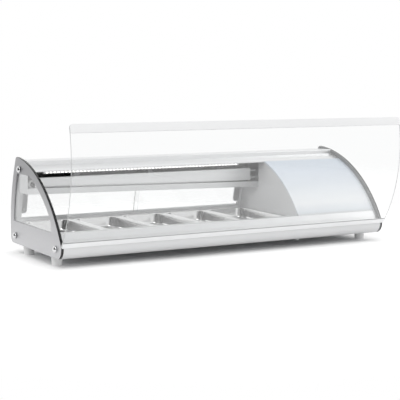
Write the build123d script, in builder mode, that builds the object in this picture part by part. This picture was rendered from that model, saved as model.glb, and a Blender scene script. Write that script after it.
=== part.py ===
from build123d import *
import os
from math import acos, asin, atan2, cos, degrees, hypot, radians, sin, sqrt, tan

os.makedirs("parts", exist_ok=True)

# A countertop refrigerated sushi display case, in millimetres.
# +X runs along the case to the right as a customer sees it, the customer stands at -Y, +Z is up.
# The origin lies on the counter, under the middle of the case's box with its front glass open.
# A setback is measured from the front of the end plates, a rise from the underside of the case.

# Clearances
slip = 0.3
hole_clearance = 0.3
shaft_clearance = 0.06
glass_play = 0.1

# Pans, sizes of the one third gastronorm pan
pan_count = 5
pan_width = 176.0
pan_length = 325.0
pan_depth = 40.0
pan_gap = 1.0
pan_sheet = 1.0
pan_rim_width = 13.0
pan_rim_height = 3.5
pan_rim_corner = 27.0
pan_corner = 34.0
pan_taper = 5.0
pan_bottom_fillet = 10.0
pan_play = 1.5
pans_left_margin = 11.0
pans_right_margin = 3.0
pans_front_margin = 85.0
pans_back_margin = 46.0

# Feet
foot_height = 32.0
foot_top = 38.0
foot_bottom = 33.0
foot_inset = 26.0
foot_front_setback = 100.0
foot_back_inset = 106.0
foot_screw_head = 14.0
foot_screw_recess = 4.0

# Base, insulation, well and deck
base_sheet = 1.5
base_flange = 16.0
slot_length = 60.0
slot_width = 6.0
slot_pitch = 14.0
slot_count = 6
foam_thickness = 24.5
foam_gap = 0.3
well_sheet = 1.2
well_flange = 7.0
well_fillet = 8.0
well_room = 2.5
deck_thickness = 1.5
bar_width = 21.0
bar_depth = 9.0

# End plates and the panes behind them
plate_thickness = 4.0
pane_thickness = 5.0
pane_inset = 0.6
body_height = 297.0
apex_setback = 66.0
apex_fillet = 16.0
heel_fillet = 25.0
bow_radius = 475.0
back_tangent_rise = 38.0
nose_rise = 40.0
nose_setback = 25.0
nose_radius = 38.0
window_front_margin = 48.0
window_back_margin = 45.0
window_over_deck = 7.5
window_head_drop = 56.0
window_fillet = 12.0
window_brow_fillet = 25.0
window_toe_fillet = 4.0

# Domed screws of the ends
dome_diameter = 23.0
dome_height = 10.0
dome_rim = 3.0
screw_diameter = 8.0
screw_reach = 12.0
port_wall = 2.0
top_screw_inset = 98.0
top_screw_lift = 7.5
back_screw_inset = 48.0
back_screw_rise = 27.5
front_screw_setback = 45.0
front_screw_rise = 29.5

# Front profile
profile_wall = 2.0
nose_inset = 0.6
ledge_rise = 36.5
band_inset = 10.5
band_over_deck = 10.5
front_profile_depth = 58.0
groove_under_band = 22.0
groove_width = 1.6
groove_depth = 0.8
shelf_reach = 9.0
shelf_thickness = 1.5

# Back profile
back_inset = 1.2
back_profile_foot = 55.5
back_profile_depth = 36.0
back_step_rise = 36.0
back_over_deck = 3.5

# Front glass and its hinge
hinge_setback = 4.0
hinge_rise = 42.0
open_angle = 63.0
glass_thickness = 5.0
glass_corner = 8.0
plate_gap = 0.5
clamp_wall = 1.5
clamp_start = 3.0
clamp_floor = 2.0
clamp_depth = 18.0
bead_radius = 3.0
bead_gap = 0.5
socket_wall = 2.0
socket_block = 2.0
web_thickness = 2.4
web_margin = 6.0
grip_height = 27.0
grip_gap = 6.0

# Top rail
rail_inset = 13.0
lip_thickness = 3.0
lip_reach = 51.0
step_inset = 144.0
step_wall = 5.0
rail_drop = 10.5
rail_height = 37.5
rail_back_inset = 4.0
rail_back_fillet = 10.0
rail_step_fillet = 2.5
rail_wall = 2.2
rail_groove_width = 1.4
rail_groove_depth = 0.6
rail_groove_spots = [22.0, 60.0]

# Light under the rail's lip
light_left_gap = 40.0
light_right_gap = 111.0
light_setback = 1.5
light_width = 13.0
light_height = 7.0
light_slant = 3.0
strip_width = 6.0
strip_thickness = 1.0
led_pitch = 13.4
led_size = 3.6
led_height = 1.2

# Wall beside the compressor bay, and the curved cover in front of the bay
bay_width = 319.0
divider_thickness = 15.0
cover_thickness = 3.0
cover_flange = 12.0

# Rear doors, their tracks and pulls
door_tilt = 14.0
stack_inset = 14.0
door_thickness = 4.0
door_gap = 6.0
groove_side = 0.4
track_wall = 1.5
bottom_track_floor = 3.4
bottom_track_height = 8.4
top_track_depth = 16.0
top_track_roof = 4.5
door_lift = 5.5
left_jamb = 24.0
right_jamb = 8.0
jamb_groove = 6.5
door_overlap = 20.0
pull_width = 22.0
pull_length = 134.0
pull_thickness = 4.5
pull_start = 23.0
pull_inset = 12.0
pull_hollow_width = 12.0
pull_hollow_depth = 2.0
pull_hollow_margin = 30.0
pull_screw_inset = 17.0
pull_screw_diameter = 4.0
pull_head_diameter = 8.0
pull_head_height = 1.6
pull_washer_diameter = 10.0
pull_washer_height = 1.2

# Drip tray under the rail, slightly lower at its right end
tray_inset = 156.0
tray_depth = 76.0
tray_sheet = 1.2
tray_lip = 20.0
tray_hem = 3.0
tray_left_drop = 73.0
tray_right_drop = 89.0
spout_inset = 30.0
spout_diameter = 10.0
spout_wall = 1.0
spout_reach = 12.0

# Evaporator in the tray
evaporator_setback = 28.0
evaporator_top_drop = 30.0
evaporator_pitch = 26.0
evaporator_left_gap = 34.0
evaporator_right_gap = 24.0
evaporator_plate = 2.0
evaporator_edge = 9.0
boss_radius = 7.0
coil_diameter = 9.5
coil_reach = 26.0
fin_count = 6
fin_reach = 26.0
fin_thickness = 1.2
hanger_count = 3
hanger_width = 20.0
hanger_thickness = 2.0
grommet_flange = 19.0
grommet_lip = 2.0
grommet_wall = 2.0

# Louvred panel and control panel behind the compressor bay
panel_sheet = 1.2
panel_recess = 2.0
panel_flange = 11.0
control_width = 104.0
louvre_rows = 8
louvre_columns = 2
louvre_length = 64.0
louvre_radius = 5.0
louvre_sheet = 1.0
louvre_pitch_x = 96.0
louvre_pitch_w = 17.0
panel_screw_inset = 5.0
panel_screw_margin = 12.0
panel_screw_diameter = 3.5
panel_screw_head = 6.5
panel_screw_head_height = 2.0
panel_screw_reach = 5.5

# Temperature controller
controller_width = 78.0
controller_height = 36.0
controller_bezel = 4.0
controller_body_width = 71.0
controller_body_height = 29.0
controller_body_depth = 54.0
controller_top_gap = 14.0
display_width = 40.0
display_height = 19.0
display_recess = 1.0
display_offset = 13.0
controller_corner = 2.5
key_width = 8.0
key_height = 5.0
key_depth = 3.0
key_pitch_x = 12.0
key_pitch_w = 11.0
key_stand = 1.0
key_travel = 0.7
key_offset = 23.0
key_corner = 1.0

# Rocker switches
switch_bezel_width = 21.0
switch_bezel_height = 30.0
switch_bezel_thickness = 2.0
switch_body_width = 18.6
switch_body_height = 26.4
switch_body_depth = 20.0
switch_pitch = 34.0
switch_under_controller = 12.0
rocker_width = 13.0
rocker_height = 21.0
rocker_pivot = 4.0
rocker_pin = 2.4
rocker_pin_reach = 1.5
rocker_top_angle = 30.0
rocker_foot_angle = 20.0
rocker_dish = 4.6
rocker_angle = 9.0

# Cable inlet
gland_hex = 16.0
gland_hex_height = 3.0
gland_cap = 13.0
gland_cap_height = 5.0
gland_thread = 12.0
gland_thread_length = 9.0
gland_bore = 7.0
gland_cap_taper = 12.0
gland_rise = 30.0

# Compressor and its mounts
compressor_from_wall = 219.0
compressor_setback = 190.0
compressor_width = 128.0
compressor_length = 146.0
compressor_body = 118.0
compressor_corner = 34.0
compressor_fillet = 22.0
compressor_port_rise = 80.0
seam_rise = 58.0
seam_reach = 3.5
seam_height = 5.0
sole_thickness = 2.5
sole_margin = 11.0
mount_height = 14.0
mount_diameter = 22.0
mount_neck = 9.0
mount_lip = 2.5
mount_pitch_x = 156.0
mount_pitch_y = 78.0
terminal_width = 44.0
terminal_height = 50.0
terminal_depth = 20.0
terminal_lift = 4.0
terminal_corner = 4.0

# Condenser, its fan and the shroud between them
condenser_from_wall = 205.0
condenser_inset = 98.0
condenser_width = 160.0
condenser_height = 150.0
condenser_depth = 34.0
condenser_lift = 40.0
condenser_fins = 10
condenser_fin = 0.8
condenser_stub = 3.0
condenser_rows = 5
condenser_tube = 8.0
condenser_sheet = 1.5
condenser_leg = 12.0
shroud_depth = 20.0
shroud_sheet = 1.5
fan_radius = 60.0
fan_tip_gap = 3.0
fan_hub_radius = 15.0
fan_hub_length = 14.0
fan_blade_count = 5
fan_blade_thickness = 1.8
fan_blade_width = 34.0
fan_pitch = 28.0
fan_hub_gap = 3.0
fan_blade_root = 3.0
motor_radius = 19.0
motor_length = 24.0
motor_shaft = 5.0
motor_arm_width = 10.0
motor_arm_thickness = 2.0
motor_arm_overlap = 8.0

# Refrigerant lines
line_diameter = 7.0
capillary_diameter = 3.0
drier_diameter = 19.0
drier_length = 92.0
drier_neck = 9.0
drier_from_wall = 48.0
drier_setback = 250.0
drier_lift = 66.0
line_bend = 9.0
line_lane = 18.0
suction_from_wall = 75.0
coupler_wall = 1.4
coupler_cap = 4.0
coupler_reach = 8.0

# Drain of the bay, with the hose that comes from the drip tray
drain_from_wall = 24.0
drain_setback = 100.0
drain_diameter = 14.0
drain_bore = 9.0
drain_below = 17.0
drain_nut = 22.0
drain_nut_height = 4.0
drain_socket = 14.0
drain_seat = 4.0
hose_wall = 1.8
hose_high = 42.0
hose_low = 26.0
hose_bend = 11.0


def arc_centre(low, high, radius):
    """Centre of the arc that rises from low to high and bulges to the front."""
    chord_y = high[0] - low[0]
    chord_z = high[1] - low[1]
    chord = hypot(chord_y, chord_z)
    away = sqrt(radius**2 - (chord / 2) ** 2)
    middle_y = (low[0] + high[0]) / 2
    middle_z = (low[1] + high[1]) / 2
    return middle_y + away * chord_z / chord, middle_z - away * chord_y / chord


# Heights that follow from the sizes above
floor_z = foot_height + base_sheet
well_bottom_z = floor_z + foam_thickness
well_depth = pan_depth - pan_rim_height + deck_thickness + well_room + well_sheet
deck_under_z = well_bottom_z + well_depth
deck_z = deck_under_z + deck_thickness
rim_top_z = deck_z + pan_rim_height
nose_z = foot_height + nose_rise
ledge_z = foot_height + ledge_rise
band_z = deck_z + band_over_deck
groove_z = band_z - groove_under_band
back_top_z = deck_z + back_over_deck
back_step_z = foot_height + back_step_rise
apex_z = foot_height + body_height
rail_z = apex_z - rail_drop
rail_under_z = rail_z - rail_height
window_sill_z = deck_z + window_over_deck
window_head_z = apex_z - window_head_drop
back_tangent_z = foot_height + back_tangent_rise
hinge_z = foot_height + hinge_rise

# The case is as deep as its pans and margins, and as long as its pans and its compressor bay
case_depth = pans_front_margin + pan_length + pans_back_margin
pan_pitch = pan_width + pan_gap
pans_span = pan_count * pan_pitch - pan_gap
display_length = pans_left_margin + pans_span + pans_right_margin
inside_length = display_length + divider_thickness + bay_width
inner_x = inside_length / 2
end_x = inner_x + pane_thickness + plate_thickness

# Front arc and front glass, first with the front of the end plates at y = 0
bow_at_front = arc_centre((0, nose_z), (case_depth - apex_setback, apex_z), bow_radius)
to_bow = (bow_at_front[0] - hinge_setback, bow_at_front[1] - hinge_z)
clamp_inner = bow_radius + plate_gap
glass_inner = clamp_inner + clamp_wall
glass_outer = glass_inner + glass_thickness
clamp_outer = glass_outer + clamp_wall
turn = radians(open_angle)
open_centre_y = hinge_setback + to_bow[0] * cos(turn) - to_bow[1] * sin(turn)
front_y = -(case_depth + open_centre_y - glass_outer) / 2

# Places that follow
back_y = front_y + case_depth
hinge = (front_y + hinge_setback, hinge_z)
bow_centre = (front_y + bow_at_front[0], bow_at_front[1])
back_radius = (apex_setback**2 + (apex_z - back_tangent_z) ** 2) / (2 * apex_setback)
back_centre = (back_y - back_radius, back_tangent_z)
pans_x = -inner_x + pans_left_margin
pans_y = front_y + pans_front_margin
divider_x = -inner_x + display_length
bay_x = divider_x + divider_thickness
front_wall_y = front_y + front_profile_depth
back_wall_y = back_y - back_profile_foot
back_step_y = back_y - back_profile_depth
step_y = back_y - step_inset
lip_y = step_y - lip_reach
box_y = step_y + step_wall - rail_wall
tray_y = back_y - tray_inset
screw_hole = screw_diameter / 2 + hole_clearance
port_radius = screw_hole + port_wall
top_screw = (back_y - top_screw_inset, rail_under_z + top_screw_lift)
back_screw = (back_y - back_screw_inset, foot_height + back_screw_rise)
front_screw = (front_y + front_screw_setback, foot_height + front_screw_rise)
screw_spots = [top_screw, back_screw, front_screw]
panel_u = door_gap / 2 + door_thickness + groove_side + track_wall
panel_inner_u = -panel_recess - panel_sheet
control_x = bay_x + control_width / 2
louvred_x = bay_x + (control_width + bay_width) / 2
well_margin = pan_rim_width - pan_play
well_x = pans_x + well_margin
well_y = pans_y + well_margin
well_length = pans_span - 2 * well_margin
well_width = pan_length - 2 * well_margin


def bow_y(inset, z):
    """Y of the front arc, moved into the case by inset, at height z."""
    return bow_centre[0] - sqrt((bow_radius - inset) ** 2 - (z - bow_centre[1]) ** 2)


def bow_z(inset, y):
    """Height of the front arc, moved into the case by inset, at y."""
    return bow_centre[1] + sqrt((bow_radius - inset) ** 2 - (y - bow_centre[0]) ** 2)


def back_arc_y(inset, z):
    """Y of the back arc, moved into the case by inset, at height z."""
    return back_centre[0] + sqrt((back_radius - inset) ** 2 - (z - back_centre[1]) ** 2)


def bow_arc(inset, z_from, z_to):
    """Piece of the front arc between two heights."""
    heights = (z_from, (z_from + z_to) / 2, z_to)
    return ThreePointArc(*[(bow_y(inset, z), z) for z in heights])


def back_arc(inset, z_from, z_to):
    """Piece of the back arc between two heights."""
    heights = (z_from, (z_from + z_to) / 2, z_to)
    return ThreePointArc(*[(back_arc_y(inset, z), z) for z in heights])


def ring_sector(centre, inner, outer, start, sweep):
    """Flat piece of a ring, with angles in degrees from the first axis of its plane."""
    with BuildSketch() as sector:
        with BuildLine():
            far = CenterArc(centre, outer, start, sweep)
            near = CenterArc(centre, inner, start, sweep)
            Line(far @ 0, near @ 0)
            Line(far @ 1, near @ 1)
        make_face()
    return sector.sketch


def leaning(u, w):
    """Point in the doors' section: u outwards from the middle of the doors, w up along them."""
    tilt = radians(door_tilt)
    y = back_y - stack_inset - w * sin(tilt) + u * cos(tilt)
    return y, back_top_z + w * cos(tilt) + u * sin(tilt)


def lean_rise(u, z):
    """Distance up along the doors at which a point u outwards reaches height z."""
    tilt = radians(door_tilt)
    return (z - back_top_z - u * sin(tilt)) / cos(tilt)


def leaning_box(u_from, u_to, w_from, w_to):
    """Face of a box in the doors' section."""
    corners = [(u_from, w_from), (u_to, w_from), (u_to, w_to), (u_from, w_to)]
    return make_polygon([leaning(*corner) for corner in corners])


def make_polygon(points):
    """Face inside the straight lines through the points."""
    with BuildSketch() as shape:
        with BuildLine():
            Polyline(*points, close=True)
        make_face()
    return shape.sketch


def box_section(y_from, y_to, z_from, z_to):
    """Face of an upright box in the case's section."""
    return make_polygon([(y_from, z_from), (y_to, z_from), (y_to, z_to), (y_from, z_to)])


def rear_plane(x, u, w):
    """Plane that faces out of the doors' plane, its second axis up along the doors."""
    tilt = radians(door_tilt)
    return Plane(origin=(x, *leaning(u, w)), x_dir=(-1, 0, 0), z_dir=(0, cos(tilt), sin(tilt)))


def lean_section(x, u, w):
    """Plane across the doors' plane: its first axis up along them, its second outwards."""
    tilt = radians(door_tilt)
    return Plane(origin=(x, *leaning(u, w)), x_dir=(0, -sin(tilt), cos(tilt)), z_dir=(-1, 0, 0))


def save(part, node):
    """Label a finished piece and write it."""
    part.label = node
    export_step(part, f"parts/{node}.step")


# Panels behind the bay and the screws of their flanges
panel_foot_y = leaning(-panel_recess, lean_rise(-panel_recess, back_top_z))[0]
panel_head_y = leaning(-panel_recess, lean_rise(-panel_recess, rail_under_z))[0]
panel_screw_low_y = panel_foot_y + panel_flange - panel_screw_inset
panel_screw_high_y = panel_head_y + panel_flange - panel_screw_inset
control_screws = [bay_x + panel_screw_margin, bay_x + control_width - panel_screw_margin]
louvred_screws = [
    bay_x + control_width + panel_screw_margin,
    louvred_x,
    inner_x - panel_screw_margin,
]
panel_screw_x = control_screws + louvred_screws

# Outline shared by the end plates and the panes behind them
toe = (front_y + nose_setback, foot_height)
brow = (front_y, nose_z)
apex = (back_y - apex_setback, apex_z)
heel = (back_arc_y(0, foot_height), foot_height)

with BuildSketch() as end_outline:
    with BuildLine():
        RadiusArc(toe, brow, nose_radius)
        bow_arc(0, nose_z, apex_z)
        back_arc(0, apex_z, foot_height)
        Line(heel, toe)
    make_face()
    fillet(end_outline.vertices().sort_by_distance((*apex, 0))[0], apex_fillet)
    fillet(end_outline.vertices().sort_by_distance((*heel, 0))[0], heel_fillet)

with BuildSketch() as pane_outline:
    add(end_outline.sketch)
    offset(amount=-pane_inset, mode=Mode.REPLACE)

window_brow = (bow_y(window_front_margin, window_head_z), window_head_z)
window_toe = (bow_y(window_front_margin, window_sill_z), window_sill_z)
window_back = (back_arc_y(window_back_margin, window_head_z), window_head_z)
window_heel = (back_arc_y(window_back_margin, window_sill_z), window_sill_z)

with BuildSketch() as window:
    with BuildLine():
        bow_arc(window_front_margin, window_sill_z, window_head_z)
        Line(window_brow, window_back)
        back_arc(window_back_margin, window_head_z, window_sill_z)
        Line(window_heel, window_toe)
    make_face()
    fillet(window.vertices().sort_by_distance((*window_brow, 0))[0], window_brow_fillet)
    fillet(window.vertices().sort_by_distance((*window_back, 0))[0], window_fillet)
    fillet(window.vertices().sort_by_distance((*window_toe, 0))[0], window_toe_fillet)
    fillet(window.vertices().sort_by_distance((*window_heel, 0))[0], window_toe_fillet)

# Left end plate with its window, and the solid right end plate
with BuildPart() as left_end_plate:
    with BuildSketch(Plane.YZ.offset(-end_x)):
        add(end_outline.sketch)
        add(window.sketch, mode=Mode.SUBTRACT)
        with Locations(*screw_spots):
            Circle(screw_hole, mode=Mode.SUBTRACT)
    extrude(amount=plate_thickness)
save(left_end_plate.part, "left_end_plate")

with BuildPart() as right_end_plate:
    with BuildSketch(Plane.YZ.offset(end_x - plate_thickness)):
        add(end_outline.sketch)
        with Locations(*screw_spots):
            Circle(screw_hole, mode=Mode.SUBTRACT)
    extrude(amount=plate_thickness)
save(right_end_plate.part, "right_end_plate")

# Clear pane behind the left plate, plain panel behind the right one
with BuildPart() as left_side_pane:
    with BuildSketch(Plane.YZ.offset(-inner_x - pane_thickness)):
        add(pane_outline.sketch)
        with Locations(*screw_spots):
            Circle(screw_hole, mode=Mode.SUBTRACT)
    extrude(amount=pane_thickness)
save(left_side_pane.part, "left_side_pane")

with BuildPart() as right_inner_panel:
    add(left_side_pane.part.mirror(Plane.YZ))
save(right_inner_panel.part, "right_inner_panel")

# Domed screws that hold both ends to the profiles
with BuildPart() as dome_screw:
    with BuildSketch(Plane.XZ):
        with BuildLine():
            shank_end = plate_thickness + pane_thickness + screw_reach
            dome = TangentArc((-dome_height, 0), (-dome_rim, dome_diameter / 2), tangent=(0, 1))
            Polyline(
                dome @ 1,
                (0, dome_diameter / 2),
                (0, screw_diameter / 2),
                (shank_end, screw_diameter / 2),
                (shank_end, 0),
                dome @ 0,
            )
        make_face()
    revolve(axis=Axis.X)

with BuildPart() as dome_screws:
    with Locations(*[(-end_x, *spot) for spot in screw_spots]):
        add(dome_screw.part)
    mirror(about=Plane.YZ)
save(dome_screws.part, "dome_screws")

# Directions at the glass hinge, with the glass closed
hinge_arm = hypot(*to_bow)
hinge_bearing = degrees(atan2(-to_bow[1], -to_bow[0]))
clamp_bearing = hinge_bearing - degrees(clamp_start / clamp_inner)
glass_bearing = clamp_bearing - degrees(clamp_floor / glass_inner)
web_end_radius = clamp_inner + web_thickness / 2
web_end_bearing = radians(clamp_bearing - degrees(clamp_floor / 2 / clamp_inner))
web_end = (
    to_bow[0] + web_end_radius * cos(web_end_bearing),
    to_bow[1] + web_end_radius * sin(web_end_bearing),
)
web_bearing = degrees(atan2(web_end[1], web_end[0]))
socket_bore = bead_radius + shaft_clearance
socket_radius = socket_bore + socket_wall
web_half_angle = degrees(asin(web_thickness / 2 / socket_bore)) + web_margin
mouth_angles = [
    web_bearing - web_half_angle,
    web_bearing + open_angle / 2,
    web_bearing + open_angle + web_half_angle,
]
mouth_reach = 2.2 * socket_radius

# Front profile: bull nose, hinge socket, sloping band and the shelf for the deck
nose_end = (front_y + nose_inset, ledge_z)
ledge_end = (bow_y(band_inset, ledge_z), ledge_z)
band_end = (bow_y(band_inset, band_z), band_z)
groove_spot = (bow_y(band_inset, groove_z), groove_z)
groove_slope = degrees(atan2(groove_z - bow_centre[1], groove_spot[0] - bow_centre[0]))

with BuildPart() as front_profile:
    with BuildSketch(Plane.YZ.offset(-inner_x)):
        with BuildLine():
            RadiusArc(toe, nose_end, nose_radius)
            Line(nose_end, ledge_end)
            bow_arc(band_inset, ledge_z, band_z)
            Polyline(band_end, (front_wall_y, band_z), (front_wall_y, foot_height), toe)
        make_face()
        offset(amount=-profile_wall, mode=Mode.SUBTRACT)
        add(box_section(ledge_end[0] - 1, front_wall_y - 1, ledge_z - profile_wall, ledge_z))
        with Locations(front_screw):
            Circle(port_radius)
            Circle(screw_hole, mode=Mode.SUBTRACT)
        with Locations(hinge):
            Circle(socket_radius)
        block_top = hinge_z + socket_block
        block_back = bow_y(band_inset, block_top) + 1
        add(box_section(hinge[0], block_back, ledge_z - 1, block_top))
        with Locations(hinge):
            Circle(socket_bore, mode=Mode.SUBTRACT)
        mouth = [
            (
                hinge[0] + mouth_reach * cos(radians(angle)),
                hinge[1] + mouth_reach * sin(radians(angle)),
            )
            for angle in mouth_angles
        ]
        add(make_polygon([hinge, *mouth]), mode=Mode.SUBTRACT)
        with Locations(groove_spot):
            Rectangle(2 * groove_depth, groove_width, rotation=groove_slope, mode=Mode.SUBTRACT)
    extrude(amount=2 * inner_x)
    with BuildSketch(Plane.YZ.offset(-inner_x)):
        shelf_under = deck_under_z - shelf_thickness
        shelf_end = front_wall_y + shelf_reach
        add(box_section(front_wall_y - 1, shelf_end, shelf_under, deck_under_z))
    extrude(amount=display_length)
save(front_profile.part, "front_profile")

# Back profile: foot, step and the shelf for the deck
with BuildPart() as back_profile:
    with BuildSketch(Plane.YZ.offset(-inner_x)) as back_section:
        back_heel = (back_arc_y(back_inset, foot_height), foot_height)
        with BuildLine():
            back_arc(back_inset, foot_height, back_top_z)
            Polyline(
                (back_arc_y(back_inset, back_top_z), back_top_z),
                (back_step_y, back_top_z),
                (back_step_y, back_step_z),
                (back_wall_y, back_step_z),
                (back_wall_y, foot_height),
                back_heel,
            )
        make_face()
        heel_corner = back_section.vertices().sort_by_distance((*back_heel, 0))[0]
        fillet(heel_corner, heel_fillet - back_inset)
        offset(amount=-profile_wall, mode=Mode.SUBTRACT)
        with Locations(back_screw):
            Circle(port_radius)
            Circle(screw_hole, mode=Mode.SUBTRACT)
    extrude(amount=2 * inner_x)
    with BuildSketch(Plane.YZ.offset(-inner_x)):
        shelf_end = back_step_y - shelf_reach
        add(box_section(shelf_end, back_step_y + 1, shelf_under, deck_under_z))
    extrude(amount=display_length)
    with BuildSketch(Plane.XY.offset(back_top_z)):
        with Locations(*[(x, panel_screw_low_y) for x in panel_screw_x]):
            Circle(panel_screw_diameter / 2 + shaft_clearance)
    extrude(amount=-profile_wall, mode=Mode.SUBTRACT)
save(back_profile.part, "back_profile")

# Curved front glass, drawn closed on a plane that is turned open about the hinge
open_plane = Plane(
    origin=(-end_x, *hinge), x_dir=(0, cos(turn), sin(turn)), z_dir=(1, 0, 0)
)
glass_top_y = step_y - grip_gap - clamp_floor - front_y
glass_top_bearing = degrees(acos((glass_top_y - bow_at_front[0]) / glass_inner))
cap_bearing = glass_top_bearing - degrees(clamp_floor / glass_inner)
grip_bearing = cap_bearing + degrees(grip_height / glass_inner)
clamp_top_bearing = clamp_bearing - degrees(clamp_depth / glass_inner)


def open_spot(x, radius, bearing):
    """Point of the open glass at a radius and bearing about the arc's centre."""
    across = to_bow[0] + radius * cos(radians(bearing))
    up = to_bow[1] + radius * sin(radians(bearing))
    y = hinge[0] + across * cos(turn) - up * sin(turn)
    return x, y, hinge[1] + across * sin(turn) + up * cos(turn)


with BuildPart() as front_glass:
    with BuildSketch(open_plane):
        sweep_angle = glass_bearing - glass_top_bearing
        add(ring_sector(to_bow, glass_inner, glass_outer, glass_top_bearing, sweep_angle))
    extrude(amount=2 * end_x)
    for x in (-end_x, end_x):
        corner = open_spot(x, (glass_inner + glass_outer) / 2, glass_top_bearing)
        fillet(front_glass.edges().sort_by_distance(corner)[0], glass_corner)
save(front_glass.part, "front_glass")

# Grip that caps the top edge of the glass
slot_inner = glass_inner - glass_play
slot_outer = glass_outer + glass_play
with BuildPart() as glass_grip:
    with BuildSketch(open_plane):
        sweep_angle = grip_bearing - cap_bearing
        add(ring_sector(to_bow, clamp_inner, clamp_outer, cap_bearing, sweep_angle))
    extrude(amount=2 * end_x)
    for x in (-end_x, end_x):
        corner = open_spot(x, (clamp_inner + clamp_outer) / 2, cap_bearing)
        fillet(glass_grip.edges().sort_by_distance(corner)[0], glass_corner + clamp_floor)
    with BuildSketch(open_plane):
        add(ring_sector(to_bow, slot_inner, slot_outer, glass_top_bearing, sweep_angle))
    extrude(amount=2 * end_x, mode=Mode.SUBTRACT)
save(glass_grip.part, "glass_grip")

# Hinge bar: a clamp along the bottom edge of the glass, with a round bead in the socket
with BuildPart() as glass_hinge_bar:
    with BuildSketch(open_plane):
        sweep_angle = clamp_bearing - clamp_top_bearing
        add(ring_sector(to_bow, clamp_inner, clamp_outer, clamp_top_bearing, sweep_angle))
        slot_sweep = glass_bearing - clamp_top_bearing
        slot = ring_sector(to_bow, slot_inner, slot_outer, clamp_top_bearing, slot_sweep)
        add(slot, mode=Mode.SUBTRACT)
    extrude(amount=2 * end_x)
    with BuildSketch(open_plane.offset(end_x - inner_x + bead_gap)):
        Circle(bead_radius)
        with Locations((web_end[0] / 2, web_end[1] / 2)):
            Rectangle(hypot(*web_end), web_thickness, rotation=web_bearing)
    extrude(amount=2 * (inner_x - bead_gap))
save(glass_hinge_bar.part, "glass_hinge_bar")

# Top rail: a hollow box with a curved lip that the closed glass lies over
lip_inset = rail_inset + lip_thickness
rail_back_y = back_arc_y(rail_back_inset, rail_z)
with BuildPart() as top_rail:
    with BuildSketch(Plane.YZ.offset(-inner_x)) as rail_section:
        with BuildLine():
            bow_arc(rail_inset, bow_z(rail_inset, lip_y), bow_z(rail_inset, step_y))
            Polyline(
                (step_y, bow_z(rail_inset, step_y)),
                (step_y, rail_z),
                (rail_back_y, rail_z),
            )
            back_arc(rail_back_inset, rail_z, rail_under_z)
            Polyline(
                (back_arc_y(rail_back_inset, rail_under_z), rail_under_z),
                (box_y, rail_under_z),
                (box_y, bow_z(lip_inset, box_y)),
            )
            bow_arc(lip_inset, bow_z(lip_inset, box_y), bow_z(lip_inset, lip_y))
            Line((lip_y, bow_z(lip_inset, lip_y)), (lip_y, bow_z(rail_inset, lip_y)))
        make_face()
        back_corner = rail_section.vertices().sort_by_distance((rail_back_y, rail_z, 0))[0]
        fillet(back_corner, rail_back_fillet)
        step_corner = rail_section.vertices().sort_by_distance((step_y, rail_z, 0))[0]
        fillet(step_corner, rail_step_fillet)
        hollow_inset = rail_back_inset + rail_wall
        hollow_top = rail_z - rail_wall
        hollow_bottom = rail_under_z + rail_wall
        with BuildSketch(mode=Mode.PRIVATE) as rail_hollow:
            with BuildLine():
                back_arc(hollow_inset, hollow_top, hollow_bottom)
                Polyline(
                    (back_arc_y(hollow_inset, hollow_bottom), hollow_bottom),
                    (box_y + rail_wall, hollow_bottom),
                    (box_y + rail_wall, hollow_top),
                    (back_arc_y(hollow_inset, hollow_top), hollow_top),
                )
            make_face()
            hollow_corner = (back_arc_y(hollow_inset, hollow_top), hollow_top, 0)
            near_corner = rail_hollow.vertices().sort_by_distance(hollow_corner)[0]
            fillet(near_corner, rail_back_fillet - rail_wall)
        add(rail_hollow.sketch, mode=Mode.SUBTRACT)
        with Locations(top_screw):
            Circle(port_radius)
            Circle(screw_hole, mode=Mode.SUBTRACT)
        groove_y = lip_y + rail_groove_spots[0]
        with Locations((groove_y, bow_z(rail_inset, groove_y))):
            Rectangle(rail_groove_width, 2 * rail_groove_depth, mode=Mode.SUBTRACT)
        with Locations((lip_y + rail_groove_spots[1], rail_z)):
            Rectangle(rail_groove_width, 2 * rail_groove_depth, mode=Mode.SUBTRACT)
    extrude(amount=2 * inner_x)
    with BuildSketch(Plane.XY.offset(rail_under_z)):
        with Locations(*[(x, panel_screw_high_y) for x in panel_screw_x]):
            Circle(panel_screw_diameter / 2 + shaft_clearance)
    extrude(amount=rail_wall, mode=Mode.SUBTRACT)
save(top_rail.part, "top_rail")

# Light bar under the lip, with its strip of light-emitting diodes on the slanting front
light_x = -inner_x + light_left_gap
light_length = display_length - light_left_gap - light_right_gap
light_top = (lip_y + light_setback, bow_z(lip_inset, lip_y + light_setback))
light_back_y = light_top[0] + light_width
light_foot = (light_top[0] + light_slant, light_top[1] - light_height)
with BuildPart() as light_bar:
    with BuildSketch(Plane.YZ.offset(light_x)):
        with BuildLine():
            bow_arc(lip_inset, light_top[1], bow_z(lip_inset, light_back_y))
            Polyline(
                (light_back_y, bow_z(lip_inset, light_back_y)),
                (light_back_y, light_foot[1]),
                light_foot,
                light_top,
            )
        make_face()
    extrude(amount=light_length)
save(light_bar.part, "light_bar")

light_face = Plane(
    origin=(
        light_x + light_length / 2,
        (light_top[0] + light_foot[0]) / 2,
        (light_top[1] + light_foot[1]) / 2,
    ),
    x_dir=(1, 0, 0),
    z_dir=(0, -light_height, -light_slant),
)
with BuildPart() as led_strip:
    with BuildSketch(light_face):
        Rectangle(light_length, strip_width)
    extrude(amount=strip_thickness)
    with BuildSketch(light_face.offset(strip_thickness)):
        with GridLocations(led_pitch, 0, int(light_length / led_pitch), 1):
            Rectangle(led_size, led_size)
    extrude(amount=led_height)
save(led_strip.part, "led_strip")

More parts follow.
